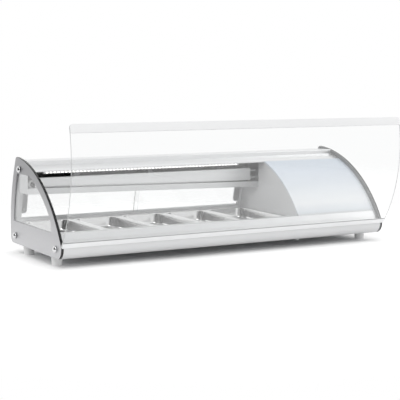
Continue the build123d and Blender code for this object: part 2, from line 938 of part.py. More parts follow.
# Base sheet with its two long flanges and the air slots under the compressor bay
foot_spots = [
    (side * (end_x - foot_inset), y)
    for side in (-1, 1)
    for y in (front_y + foot_front_setback, back_y - foot_back_inset)
]
drain_spot = (bay_x + drain_from_wall, front_y + drain_setback)
with BuildPart() as base_pan:
    with BuildSketch(Plane.YZ.offset(-inner_x)):
        flange_top = foot_height + base_flange
        add(box_section(front_wall_y, back_wall_y, foot_height, floor_z))
        add(box_section(front_wall_y, front_wall_y + base_sheet, foot_height, flange_top))
        add(box_section(back_wall_y - base_sheet, back_wall_y, foot_height, flange_top))
    extrude(amount=2 * inner_x)
    with BuildSketch(Plane.XY.offset(foot_height)):
        with Locations((bay_x + bay_width / 2, back_wall_y - slot_length)):
            with GridLocations(slot_pitch, 0, slot_count, 1):
                SlotOverall(slot_length, slot_width, rotation=90)
        with Locations(drain_spot):
            Circle(drain_diameter / 2 + hole_clearance)
    extrude(amount=base_sheet, mode=Mode.SUBTRACT)
save(base_pan.part, "base_pan")

# Tapered feet, open below for their screws
with BuildPart() as foot:
    with BuildSketch(Plane.XY.offset(foot_height)):
        Circle(foot_top / 2)
    with BuildSketch(Plane.XY):
        Circle(foot_bottom / 2)
    loft()
    with BuildSketch(Plane.XY):
        Circle(foot_screw_head / 2)
    extrude(amount=foot_height - foot_screw_recess, mode=Mode.SUBTRACT)

with BuildPart() as feet:
    with Locations(*[(*spot, 0) for spot in foot_spots]):
        add(foot.part)
save(feet.part, "feet")

# Well under the pans
well_centre = (well_x + well_length / 2, well_y + well_width / 2)
with BuildPart() as well:
    with BuildSketch(Plane.XY.offset(well_bottom_z)):
        with Locations(well_centre):
            Rectangle(well_length + 2 * well_sheet, well_width + 2 * well_sheet)
    extrude(amount=well_depth)
    fillet(well.edges().filter_by(Axis.Z), well_fillet)
    fillet(well.faces().sort_by(Axis.Z)[0].edges(), well_fillet / 2)
    offset(amount=-well_sheet, openings=well.faces().sort_by(Axis.Z)[-1])
    with BuildSketch(Plane.XY.offset(deck_under_z - well_sheet)):
        with Locations(well_centre):
            Rectangle(well_length + 2 * well_flange, well_width + 2 * well_flange)
            RectangleRounded(
                well_length + well_sheet, well_width + well_sheet, well_fillet, mode=Mode.SUBTRACT
            )
    extrude(amount=well_sheet)
save(well.part, "well")

# Insulation under the well and in front of it
with BuildPart() as insulation:
    foam_y = front_wall_y + base_sheet + foam_gap
    foam_back_y = back_wall_y - base_sheet - foam_gap
    with BuildSketch(Plane.YZ.offset(-inner_x + foam_gap)):
        add(box_section(foam_y, foam_back_y, floor_z, well_bottom_z))
        add(box_section(foam_y, well_y - well_sheet - foam_gap, floor_z, shelf_under - foam_gap))
    extrude(amount=display_length - 2 * foam_gap)
save(insulation.part, "insulation")

# Deck around the pans, and the bars between them
with BuildPart() as deck:
    with BuildSketch(Plane.XY.offset(deck_under_z)):
        with Locations((-inner_x + display_length / 2, (front_wall_y + back_step_y) / 2)):
            Rectangle(display_length, back_step_y - front_wall_y)
        with Locations(well_centre):
            Rectangle(well_length, well_width, mode=Mode.SUBTRACT)
    extrude(amount=deck_thickness)
save(deck.part, "deck")

with BuildPart() as pan_bars:
    for i in range(1, pan_count):
        bar_x = pans_x + i * pan_pitch - pan_gap / 2
        with BuildSketch(Plane.XZ.offset(-well_y)):
            with Locations((bar_x, deck_z - bar_depth / 2)):
                Rectangle(bar_width, bar_depth)
            with Locations((bar_x, deck_z - deck_thickness - bar_depth / 2)):
                Rectangle(bar_width - 2 * deck_thickness, bar_depth, mode=Mode.SUBTRACT)
        extrude(amount=-well_width)
save(pan_bars.part, "pan_bars")

# Pans
pan_body_width = pan_width - 2 * pan_rim_width
pan_body_length = pan_length - 2 * pan_rim_width
with BuildPart() as pan:
    mouth_plane = Plane(origin=(0, 0, 0), x_dir=(1, 0, 0), z_dir=(0, 0, -1))
    with BuildSketch(mouth_plane):
        RectangleRounded(pan_body_width, pan_body_length, pan_corner)
    extrude(amount=pan_depth, taper=pan_taper)
    fillet(pan.faces().sort_by(Axis.Z)[0].edges(), pan_bottom_fillet)
    with BuildSketch(Plane.XY.offset(-pan_rim_height)):
        RectangleRounded(pan_width, pan_length, pan_rim_corner)
    extrude(amount=pan_rim_height)
    with BuildPart(mode=Mode.PRIVATE) as pan_hollow:
        with BuildSketch(mouth_plane):
            RectangleRounded(
                pan_body_width - 2 * pan_sheet,
                pan_body_length - 2 * pan_sheet,
                pan_corner - pan_sheet,
            )
        extrude(amount=pan_depth - pan_sheet, taper=pan_taper)
        fillet(pan_hollow.faces().sort_by(Axis.Z)[0].edges(), pan_bottom_fillet - pan_sheet)
    add(pan_hollow.part, mode=Mode.SUBTRACT)
    with BuildSketch(Plane.XY.offset(-pan_rim_height)):
        RectangleRounded(
            pan_width - 2 * pan_sheet, pan_length - 2 * pan_sheet, pan_rim_corner - pan_sheet
        )
        RectangleRounded(pan_body_width, pan_body_length, pan_corner, mode=Mode.SUBTRACT)
    extrude(amount=pan_rim_height - pan_sheet, mode=Mode.SUBTRACT)

for i in range(pan_count):
    pan_spot = (pans_x + pan_width / 2 + i * pan_pitch, pans_y + pan_length / 2, rim_top_z)
    save(Pos(*pan_spot) * pan.part, f"pan_{i + 1}")

# Wall between the display space and the compressor bay
coil_y = tray_y + evaporator_setback
coil_top_z = rail_under_z - evaporator_top_drop
coil_spots = [(coil_y, coil_top_z - i * evaporator_pitch) for i in (0, 1)]
tray_slope = (tray_right_drop - tray_left_drop) / display_length
spout_spot = (tray_y + tray_depth - spout_inset, rail_under_z - tray_right_drop + spout_diameter)
with BuildPart() as divider:
    with BuildSketch(Plane.YZ.offset(divider_x)):
        wall_inset = rail_inset + cover_thickness + slip
        foot_y = front_wall_y + base_sheet + slip
        low_z = band_z + slip
        high_z = rail_under_z - slip
        step_z = back_step_z + slip
        track_z = back_top_z + slip
        front_top = (box_y - slip, bow_z(wall_inset, box_y - slip))
        with BuildLine():
            bow_arc(wall_inset, low_z, front_top[1])
            Polyline(
                front_top,
                (box_y - slip, high_z),
                leaning(panel_u, lean_rise(panel_u, high_z)),
                leaning(panel_u, lean_rise(panel_u, track_z)),
                (back_step_y - slip, track_z),
                (back_step_y - slip, step_z),
                (back_wall_y - base_sheet - slip, step_z),
                (back_wall_y - base_sheet - slip, floor_z),
                (foot_y, floor_z),
                (foot_y, low_z),
                (bow_y(wall_inset, low_z), low_z),
            )
        make_face()
        with Locations(*coil_spots):
            Circle(coil_diameter / 2 + grommet_wall + slip, mode=Mode.SUBTRACT)
        with Locations(spout_spot):
            Circle(spout_diameter / 2 + slip, mode=Mode.SUBTRACT)
    extrude(amount=divider_thickness)
save(divider.part, "divider")

# Curved cover in front of the bay, with a flange that lies on the front profile
with BuildPart() as compressor_cover:
    with BuildSketch(Plane.YZ.offset(divider_x)):
        cover_top_y = lip_y - slip
        inner_inset = rail_inset + cover_thickness
        with BuildLine():
            bow_arc(rail_inset, band_z, bow_z(rail_inset, cover_top_y))
            Line(
                (cover_top_y, bow_z(rail_inset, cover_top_y)),
                (cover_top_y, bow_z(inner_inset, cover_top_y)),
            )
            bow_arc(inner_inset, bow_z(inner_inset, cover_top_y), band_z)
            Line((bow_y(inner_inset, band_z), band_z), (bow_y(rail_inset, band_z), band_z))
        make_face()
    extrude(amount=divider_thickness + bay_width - slip)
    with BuildSketch(Plane.YZ.offset(bay_x + slip)):
        flange_y = bow_y(inner_inset, band_z)
        add(box_section(flange_y - 1, flange_y + cover_flange, band_z, band_z + panel_sheet))
    extrude(amount=bay_width - 2 * slip)
save(compressor_cover.part, "compressor_cover")

# Tracks of the rear doors
door_u = [door_gap / 2, door_gap / 2 + door_thickness]
groove_u = [door_u[0] - groove_side, door_u[1] + groove_side]
roof_w = lean_rise(-panel_u, rail_under_z)
top_groove_w = lean_rise(groove_u[1], rail_under_z) - top_track_roof
top_track_w = top_groove_w - top_track_depth
with BuildPart() as bottom_track:
    with BuildSketch(Plane.YZ.offset(-inner_x)):
        add(leaning_box(-panel_u, panel_u, -panel_u, bottom_track_height))
        for side in (-1, 1):
            near, far = sorted(side * u for u in groove_u)
            groove = leaning_box(near, far, bottom_track_floor, bottom_track_height + 1)
            add(groove, mode=Mode.SUBTRACT)
        below = box_section(back_step_y - panel_flange, back_y, foot_height, back_top_z)
        add(below, mode=Mode.SUBTRACT)
    extrude(amount=display_length)
save(bottom_track.part, "bottom_track")

with BuildPart() as top_track:
    with BuildSketch(Plane.YZ.offset(-inner_x)):
        add(leaning_box(-panel_u, panel_u, top_track_w, roof_w + panel_u))
        for side in (-1, 1):
            near, far = sorted(side * u for u in groove_u)
            add(leaning_box(near, far, top_track_w - 1, top_groove_w), mode=Mode.SUBTRACT)
        above = box_section(step_y, back_y, rail_under_z, apex_z)
        add(above, mode=Mode.SUBTRACT)
    extrude(amount=display_length)
save(top_track.part, "top_track")

# Jambs that stand between the tracks at both ends of the doors
jamb_rise = top_track_w - bottom_track_height
with BuildPart() as door_jambs:
    for x_from, x_to, groove_from in (
        (-inner_x, -inner_x + left_jamb, -inner_x + left_jamb - jamb_groove),
        (divider_x - right_jamb, divider_x, divider_x - right_jamb),
    ):
        with BuildSketch(Plane.YZ.offset(x_from)):
            add(leaning_box(-panel_u, panel_u, bottom_track_height, top_track_w))
        extrude(amount=x_to - x_from)
        with BuildSketch(Plane.YZ.offset(groove_from)):
            for side in (-1, 1):
                near, far = sorted(side * u for u in groove_u)
                add(leaning_box(near, far, bottom_track_height, top_track_w))
        extrude(amount=jamb_groove, mode=Mode.SUBTRACT)
save(door_jambs.part, "door_jambs")

# Rear doors: the left one slides outside, the right one inside
doors_left_x = -inner_x + left_jamb - jamb_groove + slip
doors_right_x = divider_x - right_jamb + jamb_groove - slip
door_length = (doors_right_x - doors_left_x + door_overlap) / 2
door_low_w = bottom_track_floor + slip
door_high_w = top_groove_w - door_lift
pull_screw_w = [pull_start + pull_screw_inset, pull_start + pull_length - pull_screw_inset]
doors = {
    "left": (doors_left_x, 1, doors_left_x + jamb_groove + pull_inset),
    "right": (doors_right_x - door_length, -1, doors_right_x - jamb_groove - pull_inset),
}
for name, (door_x, side, pull_x) in doors.items():
    inner_u, outer_u = sorted(side * u for u in door_u)
    with BuildPart() as door:
        with BuildSketch(Plane.YZ.offset(door_x)):
            add(leaning_box(inner_u, outer_u, door_low_w, door_high_w))
        extrude(amount=door_length)
        with BuildSketch(rear_plane(pull_x, outer_u, 0)):
            with Locations(*[(0, w) for w in pull_screw_w]):
                Circle(pull_screw_diameter / 2 + hole_clearance)
        extrude(amount=-door_thickness, mode=Mode.SUBTRACT)
    save(door.part, f"rear_door_{name}")

    with BuildPart() as pull:
        pull_plane = rear_plane(pull_x, outer_u, 0)
        with BuildSketch(pull_plane):
            with Locations((0, pull_start + pull_length / 2)):
                SlotOverall(pull_length, pull_width, rotation=90)
        extrude(amount=pull_thickness)
        with BuildSketch(pull_plane.offset(pull_thickness - pull_hollow_depth)):
            with Locations((0, pull_start + pull_length / 2)):
                hollow_length = pull_length - 2 * pull_hollow_margin
                SlotOverall(hollow_length, pull_hollow_width, rotation=90)
        extrude(amount=pull_hollow_depth, mode=Mode.SUBTRACT)
        with BuildSketch(pull_plane):
            with Locations(*[(0, w) for w in pull_screw_w]):
                Circle(pull_screw_diameter / 2 + hole_clearance)
        extrude(amount=pull_thickness, mode=Mode.SUBTRACT)
        with BuildSketch(pull_plane.offset(pull_thickness - pull_head_height)):
            with Locations(*[(0, w) for w in pull_screw_w]):
                Circle(pull_head_diameter / 2 + hole_clearance)
        extrude(amount=pull_head_height, mode=Mode.SUBTRACT)
    with BuildPart() as pull_screws:
        for w in pull_screw_w:
            with BuildSketch(rear_plane(pull_x, outer_u + pull_thickness, w)):
                Circle(pull_head_diameter / 2)
            extrude(amount=-pull_head_height)
            with BuildSketch(rear_plane(pull_x, outer_u + pull_thickness - pull_head_height, w)):
                Circle(pull_screw_diameter / 2)
            extrude(amount=-(pull_thickness - pull_head_height + door_thickness))
            with BuildSketch(rear_plane(pull_x, inner_u, w)):
                Circle(pull_washer_diameter / 2)
            extrude(amount=-pull_washer_height)
    save(Compound([pull.part, pull_screws.part]), f"door_pull_{name}")

# Drip tray: its floor falls towards the right end, where the spout is
tray_foot_z = rail_under_z - tray_left_drop
tray_back_y = tray_y + tray_depth
fall = (display_length - 2 * slip, 0, -(tray_right_drop - tray_left_drop))
with BuildPart() as drip_tray:
    tray_left = Plane.YZ.offset(-inner_x + slip)
    with BuildSketch(tray_left):
        add(box_section(tray_y, tray_back_y, tray_foot_z, tray_foot_z + tray_sheet))
        add(box_section(tray_y, tray_y + tray_sheet, tray_foot_z, tray_foot_z + tray_lip))
        hem_z = tray_foot_z + tray_lip - tray_sheet
        add(box_section(tray_y, tray_y + tray_hem, hem_z, hem_z + tray_sheet))
        back_reach = rail_under_z + (tray_right_drop - tray_left_drop)
        add(box_section(tray_back_y - tray_sheet, tray_back_y, tray_foot_z, back_reach))
    extrude(amount=hypot(*fall), dir=fall)
    with BuildSketch(tray_left):
        add(box_section(tray_y, tray_back_y, tray_foot_z, rail_under_z))
    extrude(amount=tray_sheet)
    with BuildSketch(Plane.YZ.offset(divider_x - slip)):
        add(box_section(tray_y, tray_back_y, rail_under_z - tray_right_drop, rail_under_z))
        with Locations(spout_spot):
            Circle(spout_diameter / 2 - spout_wall, mode=Mode.SUBTRACT)
        with Locations(*coil_spots):
            Circle(coil_diameter / 2 + hole_clearance, mode=Mode.SUBTRACT)
    extrude(amount=-tray_sheet)
    with BuildSketch(Plane.YZ.offset(divider_x - slip)):
        with Locations(spout_spot):
            Circle(spout_diameter / 2)
            Circle(spout_diameter / 2 - spout_wall, mode=Mode.SUBTRACT)
    extrude(amount=divider_thickness + spout_reach)
    split(bisect_by=Plane.XY.offset(rail_under_z), keep=Keep.BOTTOM)
save(drip_tray.part, "drip_tray")

# Evaporator: a ribbed extrusion with a tube through its two bosses
evaporator_x = -inner_x + evaporator_left_gap
evaporator_length = display_length - evaporator_left_gap - evaporator_right_gap
evaporator_low_z = coil_spots[1][1] - evaporator_edge
evaporator_high_z = coil_spots[0][1] + evaporator_edge
plate_y = coil_y - boss_radius
with BuildPart() as evaporator:
    with BuildSketch(Plane.YZ.offset(evaporator_x)):
        add(box_section(plate_y, plate_y + evaporator_plate, evaporator_low_z, evaporator_high_z))
        fin_room = evaporator_high_z - evaporator_low_z - fin_thickness
        for i in range(fin_count):
            fin_z = evaporator_low_z + i * fin_room / (fin_count - 1)
            add(box_section(plate_y, plate_y + fin_reach, fin_z, fin_z + fin_thickness))
        with Locations(*coil_spots):
            Circle(boss_radius)
            Circle(coil_diameter / 2 + shaft_clearance, mode=Mode.SUBTRACT)
    extrude(amount=evaporator_length)
save(evaporator.part, "evaporator")

coil_end_x = bay_x + coil_reach
bend_x = evaporator_x - evaporator_pitch / 4
with BuildPart() as evaporator_tube:
    with BuildLine():
        high = [(x, *coil_spots[0]) for x in (coil_end_x, bend_x)]
        low = [(x, *coil_spots[1]) for x in (bend_x, coil_end_x)]
        Line(*high)
        middle_z = (coil_spots[0][1] + coil_spots[1][1]) / 2
        ThreePointArc(high[1], (bend_x - evaporator_pitch / 2, coil_y, middle_z), low[0])
        Line(*low)
    with BuildSketch(Plane.YZ.offset(coil_end_x)):
        with Locations(coil_spots[0]):
            Circle(coil_diameter / 2)
            Circle(coil_diameter / 2 - spout_wall, mode=Mode.SUBTRACT)
    sweep()
save(evaporator_tube.part, "evaporator_tube")

with BuildPart() as evaporator_hangers:
    for i in range(hanger_count):
        hanger_x = evaporator_x + evaporator_length * (i + 0.5) / hanger_count
        with BuildSketch(Plane.YZ.offset(hanger_x)):
            stem_y = plate_y + evaporator_plate + boss_radius
            add(box_section(stem_y, stem_y + hanger_thickness, evaporator_high_z, rail_under_z))
            sole = evaporator_high_z + hanger_thickness
            add(box_section(stem_y, plate_y + fin_reach, evaporator_high_z, sole))
            head = rail_under_z - hanger_thickness
            add(box_section(stem_y, plate_y + fin_reach, head, rail_under_z))
        extrude(amount=hanger_width)
save(evaporator_hangers.part, "evaporator_hangers")

with BuildPart() as tube_grommets:
    for spot in coil_spots:
        with BuildSketch(Plane.YZ.offset(divider_x)):
            with Locations(spot):
                Circle(coil_diameter / 2 + grommet_wall)
                Circle(coil_diameter / 2 + glass_play, mode=Mode.SUBTRACT)
        extrude(amount=divider_thickness)
        with BuildSketch(Plane.YZ.offset(bay_x)):
            with Locations(spot):
                Circle(grommet_flange / 2)
                Circle(coil_diameter / 2 + glass_play, mode=Mode.SUBTRACT)
        extrude(amount=grommet_lip)
save(tube_grommets.part, "tube_grommets")

# Sheet panels behind the bay, flanged outwards and screwed to the rail and to the back profile
panel_section = make_polygon(
        [
            (panel_foot_y + panel_flange, back_top_z),
            (panel_foot_y + panel_flange, back_top_z + panel_sheet),
            leaning(-panel_recess, lean_rise(-panel_recess, back_top_z + panel_sheet)),
            leaning(-panel_recess, lean_rise(-panel_recess, rail_under_z - panel_sheet)),
            (panel_head_y + panel_flange, rail_under_z - panel_sheet),
            (panel_head_y + panel_flange, rail_under_z),
            leaning(panel_inner_u, lean_rise(panel_inner_u, rail_under_z)),
            leaning(panel_inner_u, lean_rise(panel_inner_u, back_top_z)),
        ]
)

controller_w = lean_rise(0, rail_under_z) - controller_top_gap - controller_height / 2
switch_w = controller_w - (controller_height + switch_bezel_height) / 2 - switch_under_controller
switch_spots = [(side * switch_pitch / 2, switch_w) for side in (-1, 1)]
with BuildPart() as control_panel:
    with BuildSketch(Plane.YZ.offset(bay_x + slip)):
        add(panel_section)
    extrude(amount=control_width - slip)
    with BuildSketch(rear_plane(control_x, -panel_recess, 0)):
        with Locations((0, controller_w)):
            Rectangle(
                controller_body_width + 2 * hole_clearance,
                controller_body_height + 2 * hole_clearance,
            )
        with Locations(*switch_spots):
            Rectangle(
                switch_body_width + 2 * hole_clearance, switch_body_height + 2 * hole_clearance
            )
        with Locations((0, gland_rise)):
            Circle(gland_thread / 2 + hole_clearance)
    extrude(amount=-panel_sheet, mode=Mode.SUBTRACT)
    with BuildSketch(Plane.XY.offset(back_top_z)):
        with Locations(*[(x, panel_screw_low_y) for x in control_screws]):
            Circle(panel_screw_diameter / 2 + shaft_clearance)
    extrude(amount=panel_sheet, mode=Mode.SUBTRACT)
    with BuildSketch(Plane.XY.offset(rail_under_z)):
        with Locations(*[(x, panel_screw_high_y) for x in control_screws]):
            Circle(panel_screw_diameter / 2 + shaft_clearance)
    extrude(amount=-panel_sheet, mode=Mode.SUBTRACT)
save(control_panel.part, "control_panel")

# Louvres: half-open hoods over slots, their mouths down
louvre_w = lean_rise(0, (back_top_z + rail_under_z) / 2)
louvre_spots = [
    (
        louvred_x + (column - (louvre_columns - 1) / 2) * louvre_pitch_x,
        louvre_w + (row - louvre_rows / 2) * louvre_pitch_w,
    )
    for column in range(louvre_columns)
    for row in range(louvre_rows)
]


def louvre(spot, radius, length, depth):
    """Hood of a louvre, or its hollow, that also reaches depth into the sheet."""
    x, w = spot
    with BuildPart() as hood:
        with BuildSketch(lean_section(x + length / 2, -panel_recess, w)):
            Circle(radius)
            with Locations((radius / 2, (radius - depth) / 2)):
                Rectangle(radius, radius + depth, mode=Mode.INTERSECT)
            with Locations((radius / 2, -depth / 2)):
                Rectangle(radius, depth)
        extrude(amount=length)
    return hood.part


with BuildPart() as louvred_panel:
    with BuildSketch(Plane.YZ.offset(bay_x + control_width)):
        add(panel_section)
    extrude(amount=bay_width - control_width - slip)
    for spot in louvre_spots:
        add(louvre(spot, louvre_radius, louvre_length, panel_sheet / 2))
        hollow_radius = louvre_radius - louvre_sheet
        hollow_length = louvre_length - 2 * louvre_sheet
        add(louvre(spot, hollow_radius, hollow_length, panel_sheet), mode=Mode.SUBTRACT)
    with BuildSketch(Plane.XY.offset(back_top_z)):
        with Locations(*[(x, panel_screw_low_y) for x in louvred_screws]):
            Circle(panel_screw_diameter / 2 + shaft_clearance)
    extrude(amount=panel_sheet, mode=Mode.SUBTRACT)
    with BuildSketch(Plane.XY.offset(rail_under_z)):
        with Locations(*[(x, panel_screw_high_y) for x in louvred_screws]):
            Circle(panel_screw_diameter / 2 + shaft_clearance)
    extrude(amount=-panel_sheet, mode=Mode.SUBTRACT)
save(louvred_panel.part, "louvred_panel")

with BuildPart() as panel_screws:
    for x in panel_screw_x:
        for y, seat_z, up in (
            (panel_screw_low_y, back_top_z + panel_sheet, 1),
            (panel_screw_high_y, rail_under_z - panel_sheet, -1),
        ):
            with BuildSketch(Plane.XY.offset(seat_z)):
                with Locations((x, y)):
                    Circle(panel_screw_head / 2)
            extrude(amount=up * panel_screw_head_height)
            with BuildSketch(Plane.XY.offset(seat_z)):
                with Locations((x, y)):
                    Circle(panel_screw_diameter / 2)
            extrude(amount=-up * panel_screw_reach)
save(panel_screws.part, "panel_screws")

# Temperature controller with a recessed display and four keys
controller_face = rear_plane(control_x, controller_bezel - panel_recess, controller_w)
key_spots = [
    (key_offset + i * key_pitch_x, j * key_pitch_w) for j in (0.5, -0.5) for i in (-0.5, 0.5)
]
key_sink = key_depth - key_stand
with BuildPart() as temperature_controller:
    with BuildSketch(controller_face):
        RectangleRounded(controller_width, controller_height, controller_corner)
    extrude(amount=-controller_bezel)
    with BuildSketch(controller_face.offset(-controller_bezel)):
        Rectangle(controller_body_width, controller_body_height)
    extrude(amount=-controller_body_depth)
    with BuildSketch(controller_face):
        with Locations((-display_offset, 0)):
            Rectangle(display_width, display_height)
    extrude(amount=-display_recess, mode=Mode.SUBTRACT)
    with BuildSketch(controller_face):
        with Locations(*key_spots):
            Rectangle(key_width + slip, key_height + slip)
    extrude(amount=-(key_sink + key_travel + slip), mode=Mode.SUBTRACT)
save(temperature_controller.part, "temperature_controller")

for i, spot in enumerate(key_spots):
    with BuildPart() as key:
        with BuildSketch(controller_face.offset(-key_sink)):
            with Locations(spot):
                RectangleRounded(key_width, key_height, key_corner)
        extrude(amount=key_depth)
    save(key.part, f"controller_key_{i + 1}")

# Rocker switches: two housings, and two rockers on pins in them
rocker_radius = rocker_height / 2
pocket_depth = rocker_pivot + rocker_radius * sin(radians(rocker_foot_angle + rocker_angle)) + slip
with BuildPart() as switch_housings:
    for offset_x, w in switch_spots:
        face = rear_plane(control_x - offset_x, switch_bezel_thickness - panel_recess, w)
        with BuildSketch(face):
            RectangleRounded(switch_bezel_width, switch_bezel_height, controller_corner)
        extrude(amount=-switch_bezel_thickness)
        with BuildSketch(face.offset(-switch_bezel_thickness)):
            Rectangle(switch_body_width, switch_body_height)
        extrude(amount=-switch_body_depth)
        with BuildSketch(face):
            Rectangle(rocker_width + 2 * slip, rocker_height + 2 * slip)
        extrude(amount=-pocket_depth, mode=Mode.SUBTRACT)
        pin_length = rocker_width + 2 * rocker_pin_reach
        pin_u = switch_bezel_thickness - panel_recess - rocker_pivot
        pin_room = pin_length + 2 * slip
        with BuildSketch(lean_section(control_x - offset_x + pin_room / 2, pin_u, w)):
            Circle(rocker_pin / 2 + shaft_clearance)
        extrude(amount=pin_room, mode=Mode.SUBTRACT)
save(switch_housings.part, "switch_housings")

for name, (offset_x, w) in zip(("power", "light"), switch_spots):
    with BuildPart() as rocker:
        rocker_x = control_x - offset_x
        with BuildSketch(lean_section(rocker_x + rocker_width / 2, pin_u, w)):
            Circle(rocker_radius)
            top_x = rocker_radius * cos(radians(rocker_top_angle))
            top_y = rocker_radius * sin(radians(rocker_top_angle))
            foot_y = -rocker_radius * sin(radians(rocker_foot_angle))
            corners = [(2 * top_x, foot_y), (2 * top_x, 2 * top_y - rocker_dish)]
            outline = [*corners, (0, rocker_dish), (-corners[1][0], corners[1][1])]
            paddle = make_polygon([*outline, (-corners[0][0], foot_y)])
            add(paddle, rotation=rocker_angle, mode=Mode.INTERSECT)
        extrude(amount=rocker_width)
        with BuildSketch(lean_section(rocker_x + pin_length / 2, pin_u, w)):
            Circle(rocker_pin / 2)
        extrude(amount=pin_length)
    save(rocker.part, f"{name}_rocker")

# Cable inlet in the control panel, with its locknut inside
with BuildPart() as gland_body:
    inlet = rear_plane(control_x, -panel_recess, gland_rise)
    with BuildSketch(inlet):
        RegularPolygon(gland_hex / 2, 6, major_radius=False)
    extrude(amount=gland_hex_height)
    with BuildSketch(inlet.offset(gland_hex_height)):
        Circle(gland_cap / 2)
    extrude(amount=gland_cap_height, taper=gland_cap_taper)
    with BuildSketch(inlet):
        Circle(gland_thread / 2)
    extrude(amount=-gland_thread_length)
    with BuildSketch(inlet.offset(-gland_thread_length)):
        Circle(gland_bore / 2)
    extrude(amount=gland_thread_length + gland_hex_height + gland_cap_height, mode=Mode.SUBTRACT)

with BuildPart() as gland_nut:
    with BuildSketch(inlet.offset(-panel_sheet)):
        RegularPolygon(gland_hex / 2, 6, major_radius=False)
        Circle(gland_thread / 2 + shaft_clearance, mode=Mode.SUBTRACT)
    extrude(amount=-gland_hex_height)
save(Compound([gland_body.part, gland_nut.part]), "cable_gland")

# Compressor on four rubber mounts
compressor_spot = (bay_x + compressor_from_wall, front_y + compressor_setback)
sole_z = floor_z + mount_height
shell_z = sole_z + sole_thickness
mount_spots = [
    (compressor_spot[0] + i * mount_pitch_x / 2, compressor_spot[1] + j * mount_pitch_y / 2)
    for i in (-1, 1)
    for j in (-1, 1)
]
with BuildPart() as compressor:
    with BuildSketch(Plane.XY.offset(shell_z)):
        with Locations(compressor_spot):
            RectangleRounded(compressor_length, compressor_width, compressor_corner)
    extrude(amount=compressor_body)
    fillet(compressor.faces().sort_by(Axis.Z)[-1].edges(), compressor_fillet)
    with BuildSketch(Plane.XY.offset(shell_z + seam_rise)):
        with Locations(compressor_spot):
            RectangleRounded(
                compressor_length + 2 * seam_reach,
                compressor_width + 2 * seam_reach,
                compressor_corner + seam_reach,
            )
    extrude(amount=seam_height)
    with BuildSketch(Plane.XY.offset(sole_z)):
        with Locations(compressor_spot):
            RectangleRounded(
                mount_pitch_x + 2 * sole_margin, mount_pitch_y + 2 * sole_margin, sole_margin
            )
        with Locations(*mount_spots):
            Circle(mount_neck / 2 + hole_clearance, mode=Mode.SUBTRACT)
    extrude(amount=sole_thickness)
    terminal_y = compressor_spot[1] - compressor_width / 2
    with BuildSketch(Plane.XZ.offset(-terminal_y)):
        with Locations((compressor_spot[0], shell_z + terminal_lift + terminal_height / 2)):
            RectangleRounded(terminal_width, terminal_height, terminal_corner)
    extrude(amount=terminal_depth)
save(compressor.part, "compressor")

with BuildPart() as compressor_mounts:
    for spot in mount_spots:
        for from_z, diameter, height in (
            (floor_z, mount_diameter, mount_height),
            (sole_z, mount_neck, sole_thickness + mount_lip),
        ):
            with BuildSketch(Plane.XY.offset(from_z)):
                with Locations(spot):
                    Circle(diameter / 2)
            extrude(amount=height)
save(compressor_mounts.part, "compressor_mounts")

# Condenser: one tube in rows through upright fins, between two sheets that stand on the base
condenser_x = bay_x + condenser_from_wall
condenser_y = back_y - condenser_inset
condenser_z = floor_z + condenser_lift
row_pitch = condenser_height / condenser_rows
row_heights = [condenser_z + row_pitch * (i + 0.5) for i in range(condenser_rows)]
row_end = condenser_width / 2 + condenser_stub
with BuildPart() as condenser:
    with BuildLine() as rows:
        side = -1
        for i, row_z in enumerate(row_heights):
            from_x = condenser_x + side * row_end
            Line((from_x, condenser_y, row_z), (condenser_x - side * row_end, condenser_y, row_z))
            if i + 1 < condenser_rows:
                bend_top = row_heights[i + 1]
                ThreePointArc(
                    (condenser_x - side * row_end, condenser_y, row_z),
                    (
                        condenser_x - side * (row_end + row_pitch / 2),
                        condenser_y,
                        (row_z + bend_top) / 2,
                    ),
                    (condenser_x - side * row_end, condenser_y, bend_top),
                )
            side = -side
    with BuildSketch(Plane.YZ.offset(condenser_x - row_end)):
        with Locations((condenser_y, row_heights[0])):
            Circle(condenser_tube / 2)
    sweep(path=rows.wires()[0])
    for i in range(condenser_fins):
        fin_pitch = condenser_width / (condenser_fins + 1)
        fin_x = condenser_x - condenser_width / 2 + (i + 1) * fin_pitch
        fin_from = condenser_y - condenser_depth / 2
        with BuildSketch(Plane.YZ.offset(fin_x)):
            add(
                box_section(
                    fin_from,
                    fin_from + condenser_depth,
                    condenser_z,
                    condenser_z + condenser_height,
                )
            )
        extrude(amount=condenser_fin)
    for side in (-1, 1):
        sheet_x = condenser_x + side * condenser_width / 2
        with BuildSketch(Plane.YZ.offset(sheet_x)):
            condenser_top = condenser_z + condenser_height
            add(box_section(fin_from, fin_from + condenser_depth, floor_z, condenser_top))
        extrude(amount=-side * condenser_sheet)
        with BuildSketch(Plane.YZ.offset(sheet_x)):
            leg_top = floor_z + condenser_sheet
            add(box_section(fin_from, fin_from + condenser_depth, floor_z, leg_top))
        extrude(amount=-side * condenser_leg)
save(condenser.part, "condenser")

# Shroud, motor and blades of the condenser's fan
fan_z = condenser_z + condenser_height / 2
shroud_y = condenser_y - condenser_depth / 2 - shroud_depth
shroud_front = Plane.XZ.offset(-shroud_y)
with BuildPart() as fan_shroud:
    with BuildSketch(shroud_front):
        with Locations((condenser_x, fan_z)):
            Rectangle(condenser_width, condenser_height)
    extrude(amount=-shroud_depth)
    with BuildSketch(shroud_front.offset(-shroud_sheet)):
        with Locations((condenser_x, fan_z)):
            Rectangle(
                condenser_width - 2 * shroud_sheet, condenser_height - 2 * shroud_sheet
            )
    extrude(amount=-shroud_depth, mode=Mode.SUBTRACT)
    with BuildSketch(shroud_front):
        with Locations((condenser_x, fan_z)):
            Circle(fan_radius + fan_tip_gap)
    extrude(amount=-shroud_sheet, mode=Mode.SUBTRACT)
save(fan_shroud.part, "fan_shroud")

